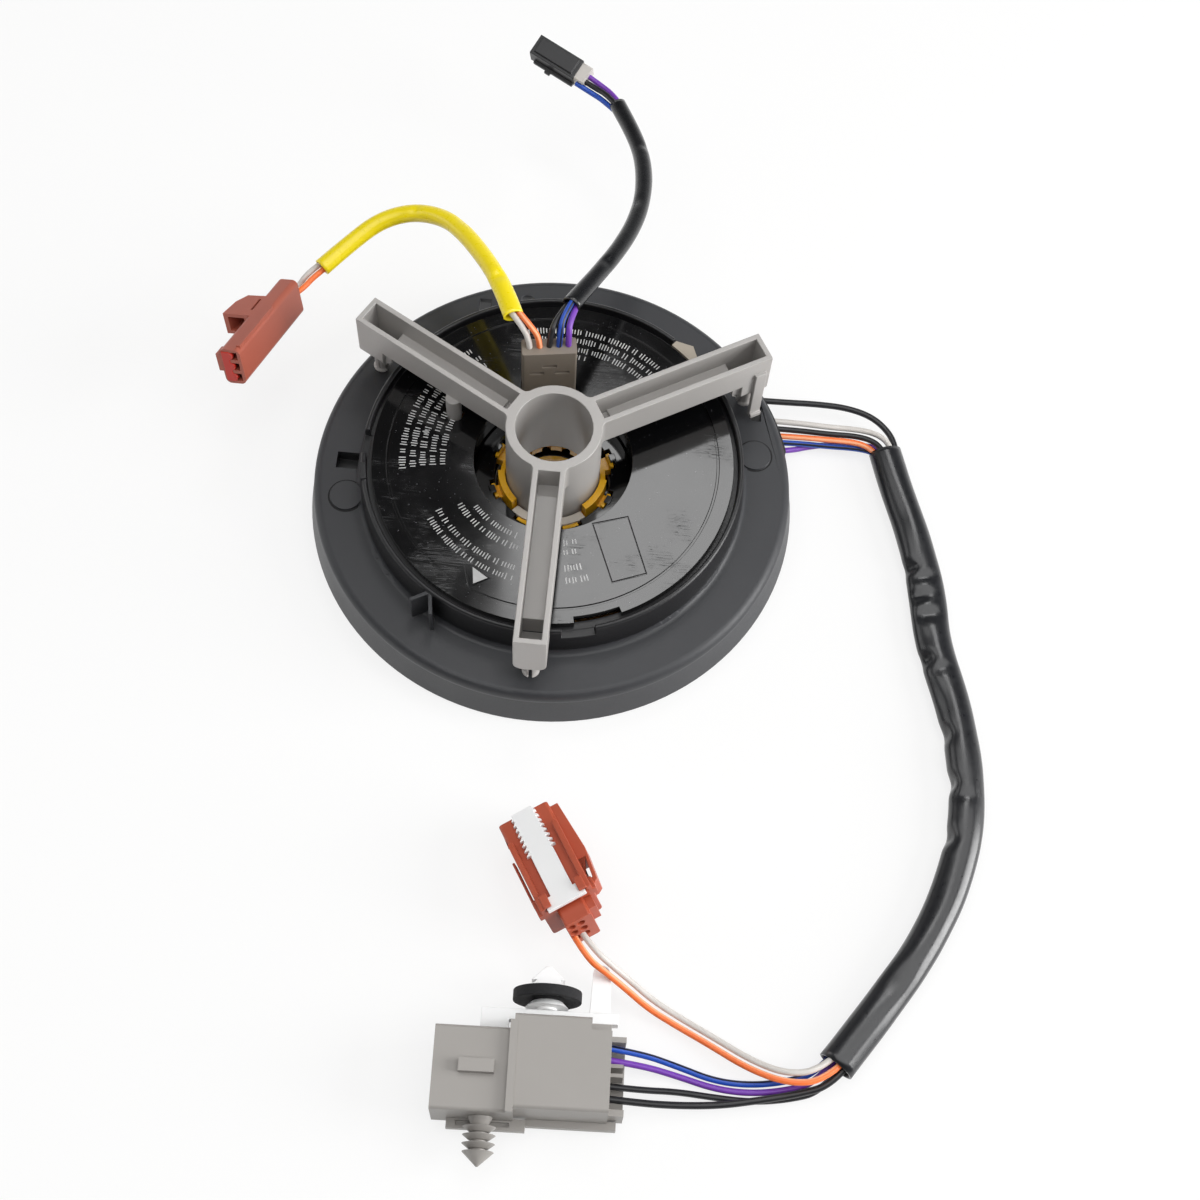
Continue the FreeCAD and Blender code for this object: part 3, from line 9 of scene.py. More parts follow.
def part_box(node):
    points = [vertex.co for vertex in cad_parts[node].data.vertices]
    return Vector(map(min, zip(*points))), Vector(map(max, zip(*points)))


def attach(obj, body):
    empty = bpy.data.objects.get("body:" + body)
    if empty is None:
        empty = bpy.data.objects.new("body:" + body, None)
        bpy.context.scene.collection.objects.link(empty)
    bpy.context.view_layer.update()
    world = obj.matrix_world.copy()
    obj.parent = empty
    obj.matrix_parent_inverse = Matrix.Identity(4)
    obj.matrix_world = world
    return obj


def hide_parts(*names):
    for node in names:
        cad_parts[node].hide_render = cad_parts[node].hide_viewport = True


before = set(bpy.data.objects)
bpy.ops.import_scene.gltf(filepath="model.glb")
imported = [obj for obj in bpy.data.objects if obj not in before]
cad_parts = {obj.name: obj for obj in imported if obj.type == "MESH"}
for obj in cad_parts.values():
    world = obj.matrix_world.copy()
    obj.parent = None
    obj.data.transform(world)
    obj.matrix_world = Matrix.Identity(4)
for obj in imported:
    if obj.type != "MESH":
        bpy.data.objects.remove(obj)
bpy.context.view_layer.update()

scene = bpy.context.scene
scene.view_settings.view_transform = "Standard"

# Camera: a long lens over the front edge of the table, turned a little on its own axis, so that
# the housing lies as a shallow oval and the leads fan out to every side of it.
camera = bpy.data.objects.new("camera", bpy.data.cameras.new("camera"))
scene.collection.objects.link(camera)
scene.camera = camera
camera.data.lens = 58.42
camera.data.sensor_width = 36
camera.data.clip_end = 20
camera.matrix_world = (
    Matrix.Translation((0.01444, -0.02648, 0))
    @ Matrix.Rotation(math.radians(0.72), 4, "Z")
    @ Matrix.Rotation(math.radians(25.30), 4, "X")
    @ Matrix.Rotation(math.radians(4.76), 4, "Z")
    @ Matrix.Translation((0, 0, 0.47849)))

# Studio: a pale laminate table under a broad soft box. A small panel behind it is what the disc
# mirrors at its front right, and two low soft boxes draw the edges, the right one much stronger.


def paint(colour):
    """An sRGB hex colour as the linear values that a shader takes."""
    parts = [int(colour[k:k + 2], 16) / 255 for k in (1, 3, 5)]
    return (*[c / 12.92 if c <= 0.04045 else ((c + 0.055) / 1.055) ** 2.4 for c in parts], 1)


def add(tree, kind, inputs=None, **settings):
    """Add a node with its settings. An input is a value, or the socket that feeds it."""
    made = tree.nodes.new(kind)
    for name, value in settings.items():
        setattr(made, name, value)
    for socket, value in (inputs or {}).items():
        if isinstance(value, bpy.types.NodeSocket):
            tree.links.new(value, made.inputs[socket])
        else:
            made.inputs[socket].default_value = value
    return made


def new_tree(owner):
    owner.use_nodes = True
    owner.node_tree.nodes.clear()
    return owner.node_tree


table_half_width = 2.5
table_drop = 0.0004
table = bmesh.new()
bmesh.ops.create_grid(table, x_segments=8, y_segments=8, size=table_half_width)
bmesh.ops.translate(table, verts=table.verts, vec=(0, 0, -table_drop))
table_mesh = bpy.data.meshes.new("table")
table.to_mesh(table_mesh)
table_top = bpy.data.objects.new("table", table_mesh)
scene.collection.objects.link(table_top)

# White laminate: to the eye a plain white ground that keeps the part's soft shadow. The share is
# how far the camera and mirroring faces see it as glowing, which keeps it white away from shadows.
glowing_share = 0.78
laminate = bpy.data.materials.new("white_laminate_satin")
tree = new_tree(laminate)
rays = add(tree, "ShaderNodeLightPath")
seen = add(tree, "ShaderNodeMath", {
    0: rays.outputs["Is Camera Ray"], 1: rays.outputs["Is Glossy Ray"]}, operation="MAXIMUM")
seen = add(tree, "ShaderNodeMath", {
    0: seen.outputs[0], 1: rays.outputs["Is Transmission Ray"]}, operation="MAXIMUM")
share = add(tree, "ShaderNodeMath", {0: seen.outputs[0], 1: glowing_share}, operation="MULTIPLY")
matt = add(tree, "ShaderNodeBsdfDiffuse", {"Color": paint("#f6f6f5")})
white = add(tree, "ShaderNodeEmission", {"Color": (1, 1, 1, 1), "Strength": 1.0})
blend = add(tree, "ShaderNodeMixShader", {
    0: share.outputs[0], 1: matt.outputs[0], 2: white.outputs[0]})
add(tree, "ShaderNodeOutputMaterial", {"Surface": blend.outputs[0]})
table_mesh.materials.append(laminate)

# Room: a dim white studio, brighter low down and behind, that the glossy disc mirrors.
room = bpy.data.worlds.new("studio_room")
scene.world = room
tree = new_tree(room)
look = add(tree, "ShaderNodeSeparateXYZ", {0: add(tree, "ShaderNodeTexCoord").outputs["Generated"]})
height = add(tree, "ShaderNodeMapRange", {
    "Value": look.outputs["Z"], "From Min": 0.10, "From Max": 0.62, "To Min": 0.50, "To Max": 0.05},
    interpolation_type="SMOOTHSTEP")
front = add(tree, "ShaderNodeMapRange", {
    "Value": look.outputs["Y"], "From Min": -0.9, "From Max": 0.2, "To Min": 0.35, "To Max": 1.0})
level = add(tree, "ShaderNodeMath", {
    0: height.outputs[0], 1: front.outputs[0]}, operation="MULTIPLY")
walls = add(tree, "ShaderNodeBackground", {"Color": (1, 1, 1, 1), "Strength": level.outputs[0]})
add(tree, "ShaderNodeOutputWorld", {"Surface": walls.outputs[0]})

for name, place, aim, size, power in (
        ("soft_box_overhead", (0.06, -0.16, 0.85), (0.06, -0.16, 0), (1.25, 0.90), 6.2),
        ("panel_behind", (0.074, 0.405, 0.85), (0.074, 0.10, 0), (0.272, 0.19), 0.87),
        ("soft_box_right", (0.95, -0.12, 0.30), (0, 0, 0.01), (0.5, 0.9), 12.0),
        ("soft_box_left", (-0.95, 0.15, 0.48), (0, 0, 0.01), (0.45, 0.6), 1.1)):
    lamp = bpy.data.lights.new(name, "AREA")
    lamp.shape = "RECTANGLE"
    lamp.size, lamp.size_y = size
    lamp.energy = power
    stand = bpy.data.objects.new(name, lamp)
    scene.collection.objects.link(stand)
    facing_aim = (Vector(place) - Vector(aim)).to_track_quat("Z", "Y").to_matrix().to_4x4()
    stand.matrix_world = Matrix.Translation(place) @ facing_aim

# Wires: stranded copper in extruded PVC, 1.45 mm over the insulation. The skin is smooth but not
# polished, it shows the lay of the strands a little, and some have a pale or dark tracer line.


def insulation(name, colour, shade, gloss, tracer=None):
    """Extruded PVC, to the eye a low sheen broken by the ripple of the strands under it. The
    ripples are drawn 1 to 2 mm long, coarser than real ones, and the colour drifts over about
    4 mm. The tracer is a line printed along one side."""
    ripples = (38, 3, 1)
    drifts_in_a_metre = 260.0
    tracer_at, tracer_edge, tracer_end = 0.30, 0.055, 0.075
    made = bpy.data.materials.new(name)
    tree = new_tree(made)
    spot = add(tree, "ShaderNodeTexCoord")
    along = add(tree, "ShaderNodeMapping", {"Vector": spot.outputs["UV"], "Scale": ripples})
    lay = add(tree, "ShaderNodeTexNoise", {
        "Vector": along.outputs[0], "Scale": 1.0, "Detail": 3.0, "Roughness": 0.6})
    cloud = add(tree, "ShaderNodeTexNoise", {
        "Vector": spot.outputs["Object"], "Scale": drifts_in_a_metre, "Detail": 2.0})
    tint = add(tree, "ShaderNodeMix", {
        0: cloud.outputs[0], 6: paint(shade), 7: paint(colour)}, data_type="RGBA")
    if tracer:
        around = add(tree, "ShaderNodeSeparateXYZ", {0: spot.outputs["UV"]})
        side = add(tree, "ShaderNodeMath", {
            0: around.outputs["Y"], 1: tracer_at}, operation="SUBTRACT")
        side = add(tree, "ShaderNodeMath", {0: side.outputs[0]}, operation="ABSOLUTE")
        inside = add(tree, "ShaderNodeMapRange", {
            "Value": side.outputs[0], "From Min": tracer_edge, "From Max": tracer_end,
            "To Min": 1.0, "To Max": 0.0})
        tint = add(tree, "ShaderNodeMix", {
            0: inside.outputs[0], 6: tint.outputs[2], 7: paint(tracer)}, data_type="RGBA")
    rough = add(tree, "ShaderNodeMapRange", {
        "Value": lay.outputs[0], "To Min": gloss - 0.08, "To Max": gloss + 0.14})
    relief = add(tree, "ShaderNodeBump", {
        "Height": lay.outputs[0], "Strength": 0.35, "Distance": 0.00012})
    skin = add(tree, "ShaderNodeBsdfPrincipled", {
        "Base Color": tint.outputs[2], "Roughness": rough.outputs[0], "IOR": 1.53,
        "Normal": relief.outputs[0]})
    add(tree, "ShaderNodeOutputMaterial", {"Surface": skin.outputs[0]})
    return made


pvc = {
    "white": insulation("pvc_grey_white_extruded", "#dcd8d3", "#c9c4be", 0.36),
    "orange": insulation("pvc_orange_extruded_pale_tracer", "#ff8142", "#f4712f", 0.36, "#ffb184"),
    "purple": insulation("pvc_purple_extruded", "#7d43b4", "#6c37a4", 0.34),
    "blue": insulation("pvc_blue_extruded_dark_tracer", "#2455c0", "#1a48ab", 0.34, "#0c1328"),
    "black": insulation("pvc_black_extruded", "#232326", "#161618", 0.30),
}


def smooth_line(name, route, thickness=0.0, steps=12):
    """A smooth curve with the route's points as its control points."""
    line = bpy.data.curves.new(name, "CURVE")
    line.dimensions = "3D"
    line.resolution_u = steps
    line.bevel_depth = thickness / 2
    line.bevel_resolution = 6
    line.use_fill_caps = thickness > 0
    spline = line.splines.new("NURBS")
    spline.points.add(len(route) - 1)
    for point, place in zip(spline.points, route):
        point.co = (*place, 1)
    spline.order_u = 3
    spline.use_endpoint_u = True
    piece = bpy.data.objects.new(name, line)
    scene.collection.objects.link(piece)
    return piece


def wire(node, body, colour, diameter, route):
    """A round wire that stands for its CAD node and rides on a body."""
    piece = smooth_line("lead_" + node, route, diameter)
    piece.data.materials.append(pvc[colour])
    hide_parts(node)
    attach(piece, body)
    return piece


for node, colour, diameter, length, route in (
        ("exit_wire_black_outer", "black", 0.0016, 0.0466, [
            (0.0484, 0.0316, 0.005), (0.056, 0.032, 0.0046), (0.0646, 0.0327, 0.0041),
            (0.0726, 0.0326, 0.0039), (0.0794, 0.0306, 0.0039), (0.084, 0.0262, 0.0039),
            (0.0856, 0.0216, 0.004), (0.0864, 0.0174, 0.004)]),
        ("exit_wire_white", "white", 0.00145, 0.0374, [
            (0.0514, 0.0258, 0.0052), (0.0596, 0.0258, 0.0054), (0.0684, 0.0255, 0.0053),
            (0.0764, 0.0256, 0.0053), (0.0812, 0.0244, 0.0055), (0.0839, 0.0216, 0.0057),
            (0.0848, 0.018, 0.0057)]),
        ("exit_wire_black_inner", "black", 0.00145, 0.0342, [
            (0.0524, 0.0232, 0.0059), (0.0604, 0.0237, 0.0053), (0.0686, 0.0238, 0.0047),
            (0.0752, 0.0239, 0.0049), (0.0796, 0.0227, 0.0053), (0.082, 0.0202, 0.0056),
            (0.083, 0.0169, 0.0057)]),
        ("exit_wire_orange", "orange", 0.00145, 0.0320, [
            (0.053, 0.0219, 0.0045), (0.0606, 0.0221, 0.0047), (0.0682, 0.0221, 0.0048),
            (0.0746, 0.0223, 0.0046), (0.0786, 0.0214, 0.0043), (0.0809, 0.0192, 0.0041),
            (0.0822, 0.0163, 0.004)]),
        ("exit_wire_blue", "blue", 0.00145, 0.0327, [
            (0.0536, 0.0202, 0.0041), (0.0606, 0.021, 0.0035), (0.0682, 0.0212, 0.003),
            (0.0754, 0.0216, 0.0027), (0.0799, 0.0211, 0.0025), (0.0823, 0.0189, 0.0024),
            (0.0834, 0.0159, 0.0023)]),
        ("exit_wire_purple", "purple", 0.00145, 0.0355, [
            (0.054, 0.0179, 0.0039), (0.0584, 0.0191, 0.0024), (0.064, 0.0216, 0.0014),
            (0.0702, 0.0231, 0.0012), (0.0764, 0.0234, 0.0015), (0.0814, 0.0227, 0.002),
            (0.084, 0.0202, 0.0023), (0.085, 0.0169, 0.0023)])):
    piece = wire(node, "housing", colour, diameter, route)

body_pieces = ["body_connector", "body_contacts", "connector_bracket", "foam_washer",
               "arrow_clip", "fir_tree_fastener"]
column_pieces = ["column_connector", "column_connector_rear", "column_contacts", "column_clip"]
for node, colour, diameter, length, pieces, route in (
        ("lower_wire_blue", "blue", 0.00145, 0.0558, body_pieces, [
            (0.0761, -0.1321, 0.004), (0.0719, -0.1374, 0.0024), (0.0652, -0.1397, 0.0011),
            (0.0574, -0.1411, 0.001), (0.0496, -0.1409, 0.0011), (0.0414, -0.1388, 0.0023),
            (0.033, -0.1373, 0.005), (0.0247, -0.1373, 0.0076)]),
        ("lower_wire_purple", "purple", 0.00145, 0.0566, body_pieces, [
            (0.0769, -0.1326, 0.0023), (0.0725, -0.139, 0.0011), (0.0656, -0.1415, 0.00095),
            (0.0576, -0.1429, 0.00095), (0.0497, -0.1426, 0.00095), (0.0416, -0.1407, 0.0013),
            (0.0332, -0.1395, 0.0034), (0.0248, -0.1395, 0.0056)]),
        ("lower_wire_black_thin", "black", 0.00145, 0.0583, body_pieces, [
            (0.0785, -0.1338, 0.0023), (0.0737, -0.1409, 0.001), (0.0662, -0.1434, 0.00095),
            (0.058, -0.1447, 0.00095), (0.0499, -0.1445, 0.00095), (0.0416, -0.1441, 0.0014),
            (0.0333, -0.145, 0.0038), (0.025, -0.1453, 0.0062)]),
        ("lower_wire_black_heavy", "black", 0.0016, 0.0584, body_pieces, [
            (0.0793, -0.1343, 0.004), (0.0753, -0.1399, 0.0031), (0.0676, -0.1425, 0.0027),
            (0.0594, -0.1446, 0.0028), (0.0512, -0.1464, 0.0027), (0.0426, -0.1474, 0.0033),
            (0.0336, -0.1481, 0.0053), (0.0251, -0.1482, 0.0074)]),
        ("lower_wire_orange", "orange", 0.00145, 0.0764, column_pieces, [
            (0.0785, -0.1338, 0.0047), (0.0734, -0.1396, 0.0058), (0.0654, -0.141, 0.0063),
            (0.0566, -0.1382, 0.0044), (0.048, -0.1334, 0.0025), (0.0402, -0.1296, 0.0017),
            (0.0338, -0.1266, 0.0026), (0.0286, -0.1234, 0.005), (0.0238, -0.1212, 0.009),
            (0.0192, -0.1189, 0.0112), (0.0153, -0.1129, 0.0101)]),
        ("lower_wire_white", "white", 0.00145, 0.0719, column_pieces, [
            (0.0769, -0.1326, 0.0049), (0.0721, -0.1375, 0.0059), (0.065, -0.139, 0.0064),
            (0.0573, -0.1364, 0.0045), (0.049, -0.1318, 0.0026), (0.0412, -0.1279, 0.0017),
            (0.0347, -0.1247, 0.0026), (0.0296, -0.1216, 0.005), (0.025, -0.1193, 0.0082),
            (0.0208, -0.117, 0.0112), (0.0169, -0.1122, 0.0104)])):
    piece = wire(node, "housing", colour, diameter, route)

top_wire_diameter = 0.00145
for node, colour, route in (
        ("plug_wire_white", "white", [
            (-0.0077, 0.0192, 0.0376), (-0.0078, 0.0194, 0.0424),
            (-0.0102, 0.0218, 0.0452), (-0.0136, 0.0259, 0.045)]),
        ("plug_wire_orange", "orange", [
            (-0.0054, 0.0196, 0.0376), (-0.0054, 0.0198, 0.0426),
            (-0.0079, 0.0214, 0.0456), (-0.012, 0.0264, 0.045)]),
        ("plug_wire_black", "black", [
            (-0.0032, 0.0199, 0.0376), (-0.0031, 0.0204, 0.0428),
            (-0.0019, 0.0246, 0.0452), (0.0012, 0.0307, 0.044)]),
        ("plug_wire_blue", "blue", [
            (-0.0009, 0.0203, 0.0376), (-0.0008, 0.0208, 0.0434),
            (-0.0003, 0.025, 0.0462), (0.002, 0.0306, 0.0455)]),
        ("plug_wire_purple", "purple", [
            (0.0014, 0.0207, 0.0376), (0.0013, 0.021, 0.0424),
            (0.0013, 0.0246, 0.045), (0.0028, 0.0299, 0.044)]),
        ("airbag_wire_orange", "orange", [
            (-0.0603, 0.0468, 0.0262), (-0.0644, 0.0429, 0.0252),
            (-0.0664, 0.0399, 0.0244), (-0.0689, 0.0358, 0.026)]),
        ("airbag_wire_white", "white", [
            (-0.0614, 0.0481, 0.0262), (-0.066, 0.0439, 0.0254),
            (-0.0684, 0.0409, 0.0224), (-0.0705, 0.0352, 0.0236)]),
        ("switch_wire_purple", "purple", [
            (0.0083, 0.1026, 0.0274), (0.0052, 0.1072, 0.0269),
            (0.0019, 0.11, 0.0267), (-0.0032, 0.1132, 0.0274)]),
        ("switch_wire_black", "black", [
            (0.0072, 0.1018, 0.0284), (0.0036, 0.1064, 0.0278),
            (0.0004, 0.1088, 0.0269), (-0.004, 0.1116, 0.027)]),
        ("switch_wire_blue", "blue", [
            (0.0066, 0.1018, 0.0266), (0.0026, 0.1058, 0.0262),
            (-0.0006, 0.1079, 0.026), (-0.0049, 0.1102, 0.0266)])):
    wire(node, "rotor", colour, top_wire_diameter, route)

# Sleeves: thin soft PVC tube pushed over the wires. It goes flat where it bends, keeps small
# creases from being packed, and its cut ends gape into an oval round the wires.


def soft_tube(name, colour, shade, gloss, coat):
    """Soft PVC tube, to the eye a wet-looking skin over a deep colour, with faint folds along it.
    Haze from handling clouds it in patches of about 11 mm. Dust is drawn 1 mm apart, coarser than
    the real grains, so that it shows."""
    folds = (26, 3, 1)
    dust_in_a_metre = 900.0
    haze_in_a_metre = 90.0
    made = bpy.data.materials.new(name)
    tree = new_tree(made)
    spot = add(tree, "ShaderNodeTexCoord")
    along = add(tree, "ShaderNodeMapping", {"Vector": spot.outputs["UV"], "Scale": folds})
    crease = add(tree, "ShaderNodeTexNoise", {
        "Vector": along.outputs[0], "Scale": 1.0, "Detail": 2.0, "Roughness": 0.5,
        "Distortion": 0.4})
    dust = add(tree, "ShaderNodeTexNoise", {
        "Vector": spot.outputs["Object"], "Scale": dust_in_a_metre, "Detail": 4.0})
    haze = add(tree, "ShaderNodeTexNoise", {
        "Vector": spot.outputs["Object"], "Scale": haze_in_a_metre, "Detail": 3.0})
    tint = add(tree, "ShaderNodeMix", {
        0: haze.outputs[0], 6: paint(shade), 7: paint(colour)}, data_type="RGBA")
    rough = add(tree, "ShaderNodeMapRange", {
        "Value": dust.outputs[0], "From Min": 0.3, "From Max": 0.75,
        "To Min": gloss - 0.05, "To Max": gloss + 0.08})
    fold = add(tree, "ShaderNodeBump", {
        "Height": crease.outputs[0], "Strength": 0.25, "Distance": 0.0002})
    grit = add(tree, "ShaderNodeBump", {
        "Height": dust.outputs[0], "Strength": 0.03, "Distance": 0.00003,
        "Normal": fold.outputs[0]})
    skin = add(tree, "ShaderNodeBsdfPrincipled", {
        "Base Color": tint.outputs[2], "Roughness": rough.outputs[0], "IOR": 1.53,
        "Normal": grit.outputs[0], "Coat Weight": coat, "Coat Roughness": 0.20})
    add(tree, "ShaderNodeOutputMaterial", {"Surface": skin.outputs[0]})
    return made


def sleeve(node, body, diameter, route, flats, creases, rest_z=None):
    """A soft tube along its route. Flats are (share of length, height left), and creases are
    (share of length, width, depth, angle round the tube). rest_z is the surface that it lies on."""
    unevenness, bumps_in_a_metre = 0.00010, 110
    wall_thickness = 0.00045
    line = smooth_line(node + "_line", route, 0.0, 20)
    live = line.evaluated_get(bpy.context.evaluated_depsgraph_get())
    path = [v.co.copy() for v in bpy.data.meshes.new_from_object(live).vertices]
    line.data.bevel_depth = diameter / 2
    line.data.bevel_resolution = 12
    bpy.context.view_layer.update()
    live = line.evaluated_get(bpy.context.evaluated_depsgraph_get())
    mesh = bpy.data.meshes.new_from_object(live)
    bpy.data.objects.remove(line)
    around = len(mesh.vertices) // len(path)
    radius = diameter / 2
    for ring, centre in enumerate(path):
        share = ring / (len(path) - 1)
        ahead = (path[min(ring + 1, len(path) - 1)] - path[max(ring - 1, 0)]).normalized()
        side = ahead.cross(Vector((0, 0, 1))).normalized()
        up = side.cross(ahead)
        left = next(k for k in range(len(flats) - 1) if flats[k + 1][0] >= share)
        (s0, h0), (s1, h1) = flats[left], flats[left + 1]
        ease = (share - s0) / (s1 - s0)
        tall = h0 + (h1 - h0) * ease * ease * (3 - 2 * ease)
        for k in range(around):
            vertex = mesh.vertices[ring * around + k]
            offset = vertex.co - centre
            across, lift = offset.dot(side), offset.dot(up)
            angle = math.atan2(lift, across)
            inward = 0.0
            for place, width, depth, turn in creases:
                facing = math.cos(angle - math.radians(turn))
                reach = math.exp(-((share - place) / width) ** 2)
                inward += depth * reach * max(0.0, facing) ** 4
            rough = noise.noise(vertex.co * bumps_in_a_metre) * unevenness
            shrink = 1 - inward / radius + rough / radius
            keep_girth = math.sqrt(2 - tall * tall)
            across *= keep_girth * shrink
            lift *= tall * shrink
            if rest_z is not None:
                lift -= radius * (1 - tall)
            vertex.co = centre + side * across + up * lift
            if rest_z is not None:
                vertex.co.z = max(vertex.co.z, rest_z)
    mesh.polygons.foreach_set("use_smooth", [True] * len(mesh.polygons))
    piece = bpy.data.objects.new("lead_" + node, mesh)
    scene.collection.objects.link(piece)
    wall = piece.modifiers.new("wall", "SOLIDIFY")
    wall.thickness = wall_thickness
    wall.offset = -1
    wall.use_rim = True
    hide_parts(node)
    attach(piece, body)
    return piece, path


harness, harness_path = sleeve(
    "harness_sleeve", "housing", 0.0075,
    [(0.0829, 0.0207, 0.004), (0.086, 0.0104, 0.004), (0.091, -0.0036, 0.004),
     (0.0944, -0.0174, 0.004), (0.0959, -0.0312, 0.004), (0.1006, -0.0454, 0.004),
     (0.1039, -0.0602, 0.004), (0.1047, -0.0752, 0.004), (0.1020, -0.09, 0.004),
     (0.0958, -0.1054, 0.004), (0.0865, -0.1206, 0.004), (0.076, -0.1357, 0.004)],
    [(0.0, 0.88), (0.12, 0.86), (0.27, 0.70), (0.40, 0.76),
     (0.55, 0.86), (0.72, 0.84), (0.86, 0.90), (1.0, 0.84)],
    [(0.10, 0.070, 0.0005, 55), (0.205, 0.012, 0.0011, 35), (0.228, 0.009, 0.0007, 85),
     (0.262, 0.011, 0.0010, 60), (0.300, 0.013, 0.0010, 80), (0.345, 0.030, 0.0006, 50),
     (0.378, 0.012, 0.0012, 30), (0.400, 0.010, 0.0005, 85), (0.455, 0.050, 0.0006, 40),
     (0.510, 0.014, 0.0010, 15), (0.595, 0.014, 0.0012, 10), (0.620, 0.010, 0.0004, 70),
     (0.690, 0.014, 0.0011, 20), (0.800, 0.060, 0.0004, 60), (0.920, 0.025, 0.0008, 75)],
    0.0003)
harness.data.materials.clear()
harness.data.materials.append(soft_tube("pvc_tube_black_creased", "#1b1c20", "#141518", 0.32, 0.6))

yellow, yellow_path = sleeve(
    "yellow_sleeve", "rotor", 0.0043,
    [(-0.0121, 0.024, 0.045), (-0.0154, 0.0324, 0.0434), (-0.0204, 0.0416, 0.041),
     (-0.0264, 0.0504, 0.0382), (-0.0326, 0.057, 0.0356), (-0.041, 0.06, 0.0328),
     (-0.0496, 0.058, 0.0302), (-0.0563, 0.052, 0.028), (-0.0625, 0.0452, 0.0262)],
    [(0.0, 0.80), (0.10, 0.86), (0.16, 0.97), (0.6, 0.95), (0.92, 0.96), (1.0, 0.90)],
    [(0.115, 0.016, 0.0005, 90), (0.42, 0.03, 0.0002, 60), (0.62, 0.02, 0.0003, 100)])
yellow.data.materials.clear()
yellow.data.materials.append(soft_tube("pvc_tube_yellow", "#fbe61a", "#f3da0e", 0.30, 0.35))

black, black_path = sleeve(
    "black_sleeve", "rotor", 0.004,
    [(0.001, 0.0286, 0.045), (0.0058, 0.0384, 0.0424), (0.0108, 0.0491, 0.0394),
     (0.0145, 0.0607, 0.0362), (0.0158, 0.0727, 0.0332), (0.0146, 0.0844, 0.0308),
     (0.0112, 0.0947, 0.0286), (0.0066, 0.104, 0.0272)],
    [(0.0, 0.88), (0.12, 0.95), (0.5, 0.93), (0.9, 0.95), (1.0, 0.90)],
    [(0.16, 0.02, 0.0004, 80), (0.5, 0.03, 0.0003, 120), (0.8, 0.02, 0.0003, 60)])
black.data.materials.clear()
black.data.materials.append(soft_tube("pvc_tube_black_fine", "#17181b", "#101113", 0.26, 0.5))

# Base cover: a dark moulded lid that closes the cassette from below and carries the hub. It has
# the same fine grain as the housing that it snaps into.


def moulded(name, colour, shade, rough, grain=0.00035, relief=0.00002, gloss=0.0, drift=45.0):
    """Injection-moulded plastic. To the eye it is satin and never quite even: the flow gives a slow
    drift of colour, 22 mm long unless drift says else, and the tool leaves a fine grain that breaks
    up the highlights. A real spark grain is some 0.05 mm, and it is drawn 0.2 to 0.6 mm to show."""
    made = bpy.data.materials.new(name)
    tree = new_tree(made)
    spot = add(tree, "ShaderNodeTexCoord").outputs["Object"]
    flow = add(tree, "ShaderNodeTexNoise", {
        "Vector": spot, "Scale": drift, "Detail": 3.0, "Roughness": 0.55})
    spark = add(tree, "ShaderNodeTexNoise", {
        "Vector": spot, "Scale": 1 / grain, "Detail": 3.0, "Roughness": 0.7})
    tint = add(tree, "ShaderNodeMix", {
        0: flow.outputs[0], 6: paint(shade), 7: paint(colour)}, data_type="RGBA")
    dull = add(tree, "ShaderNodeMath", {
        0: spark.outputs[0], 1: flow.outputs[0]}, operation="MULTIPLY")
    satin = add(tree, "ShaderNodeMapRange", {
        "Value": dull.outputs[0], "From Min": 0.1, "From Max": 0.42,
        "To Min": rough - 0.07, "To Max": rough + 0.09})
    skin_relief = add(tree, "ShaderNodeBump", {
        "Height": spark.outputs[0], "Strength": 0.5, "Distance": relief})
    skin = add(tree, "ShaderNodeBsdfPrincipled", {
        "Base Color": tint.outputs[2], "Roughness": satin.outputs[0], "IOR": 1.5,
        "Normal": skin_relief.outputs[0], "Coat Weight": gloss, "Coat Roughness": 0.15})
    add(tree, "ShaderNodeOutputMaterial", {"Surface": skin.outputs[0]})
    return made


def dress(node, material):
    """A CAD piece keeps its shape and takes a finish."""
    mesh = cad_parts[node].data
    if not mesh.materials:
        mesh.materials.append(material)
    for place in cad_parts[node].material_slots:
        place.material = material


# Glass-filled PBT: to the eye a dark grey with a dry, grainy sheen, from the fibres at the skin.
housing_plastic = moulded(
    "pbt_glass_filled_spark_grain_dark_grey", "#38393c", "#303134", 0.45, 0.00032, 0.000035)
dress("base_cover", housing_plastic)

# Slip film and ribbon cable: a thin polyester sheet, and a flat cable of copper strips laminated
# in clear film, wound on the hub. Both lie inside the closed cassette. To the eye the sheet is a
# milky white with a fair gloss.
dress("slip_film", moulded("polyester_film_milky", "#dcdcd6", "#d0d0c8", 0.22, 0.0006, 0.00001))
ribbon_film = bpy.data.materials.new("polyester_laminate_over_copper_strips")
# To the eye: copper under clear film, one broad strip in each 3.6 mm of the cable's height.
half_strip_pitch = 0.0018
tree = new_tree(ribbon_film)
spot = add(tree, "ShaderNodeSeparateXYZ", {0: add(tree, "ShaderNodeTexCoord").outputs["Object"]})
strip = add(tree, "ShaderNodeMath", {
    0: spot.outputs["Z"], 1: half_strip_pitch}, operation="PINGPONG")
edge = add(tree, "ShaderNodeMapRange", {
    "Value": strip.outputs[0], "From Min": 0.0005, "From Max": 0.0007})
tint = add(tree, "ShaderNodeMix", {
    0: edge.outputs[0], 6: paint("#d8cfb8"), 7: paint("#b9854e")}, data_type="RGBA")
skin = add(tree, "ShaderNodeBsdfPrincipled", {
    "Base Color": tint.outputs[2], "Roughness": 0.25, "IOR": 1.6})
add(tree, "ShaderNodeOutputMaterial", {"Surface": skin.outputs[0]})
dress("ribbon_cable", ribbon_film)

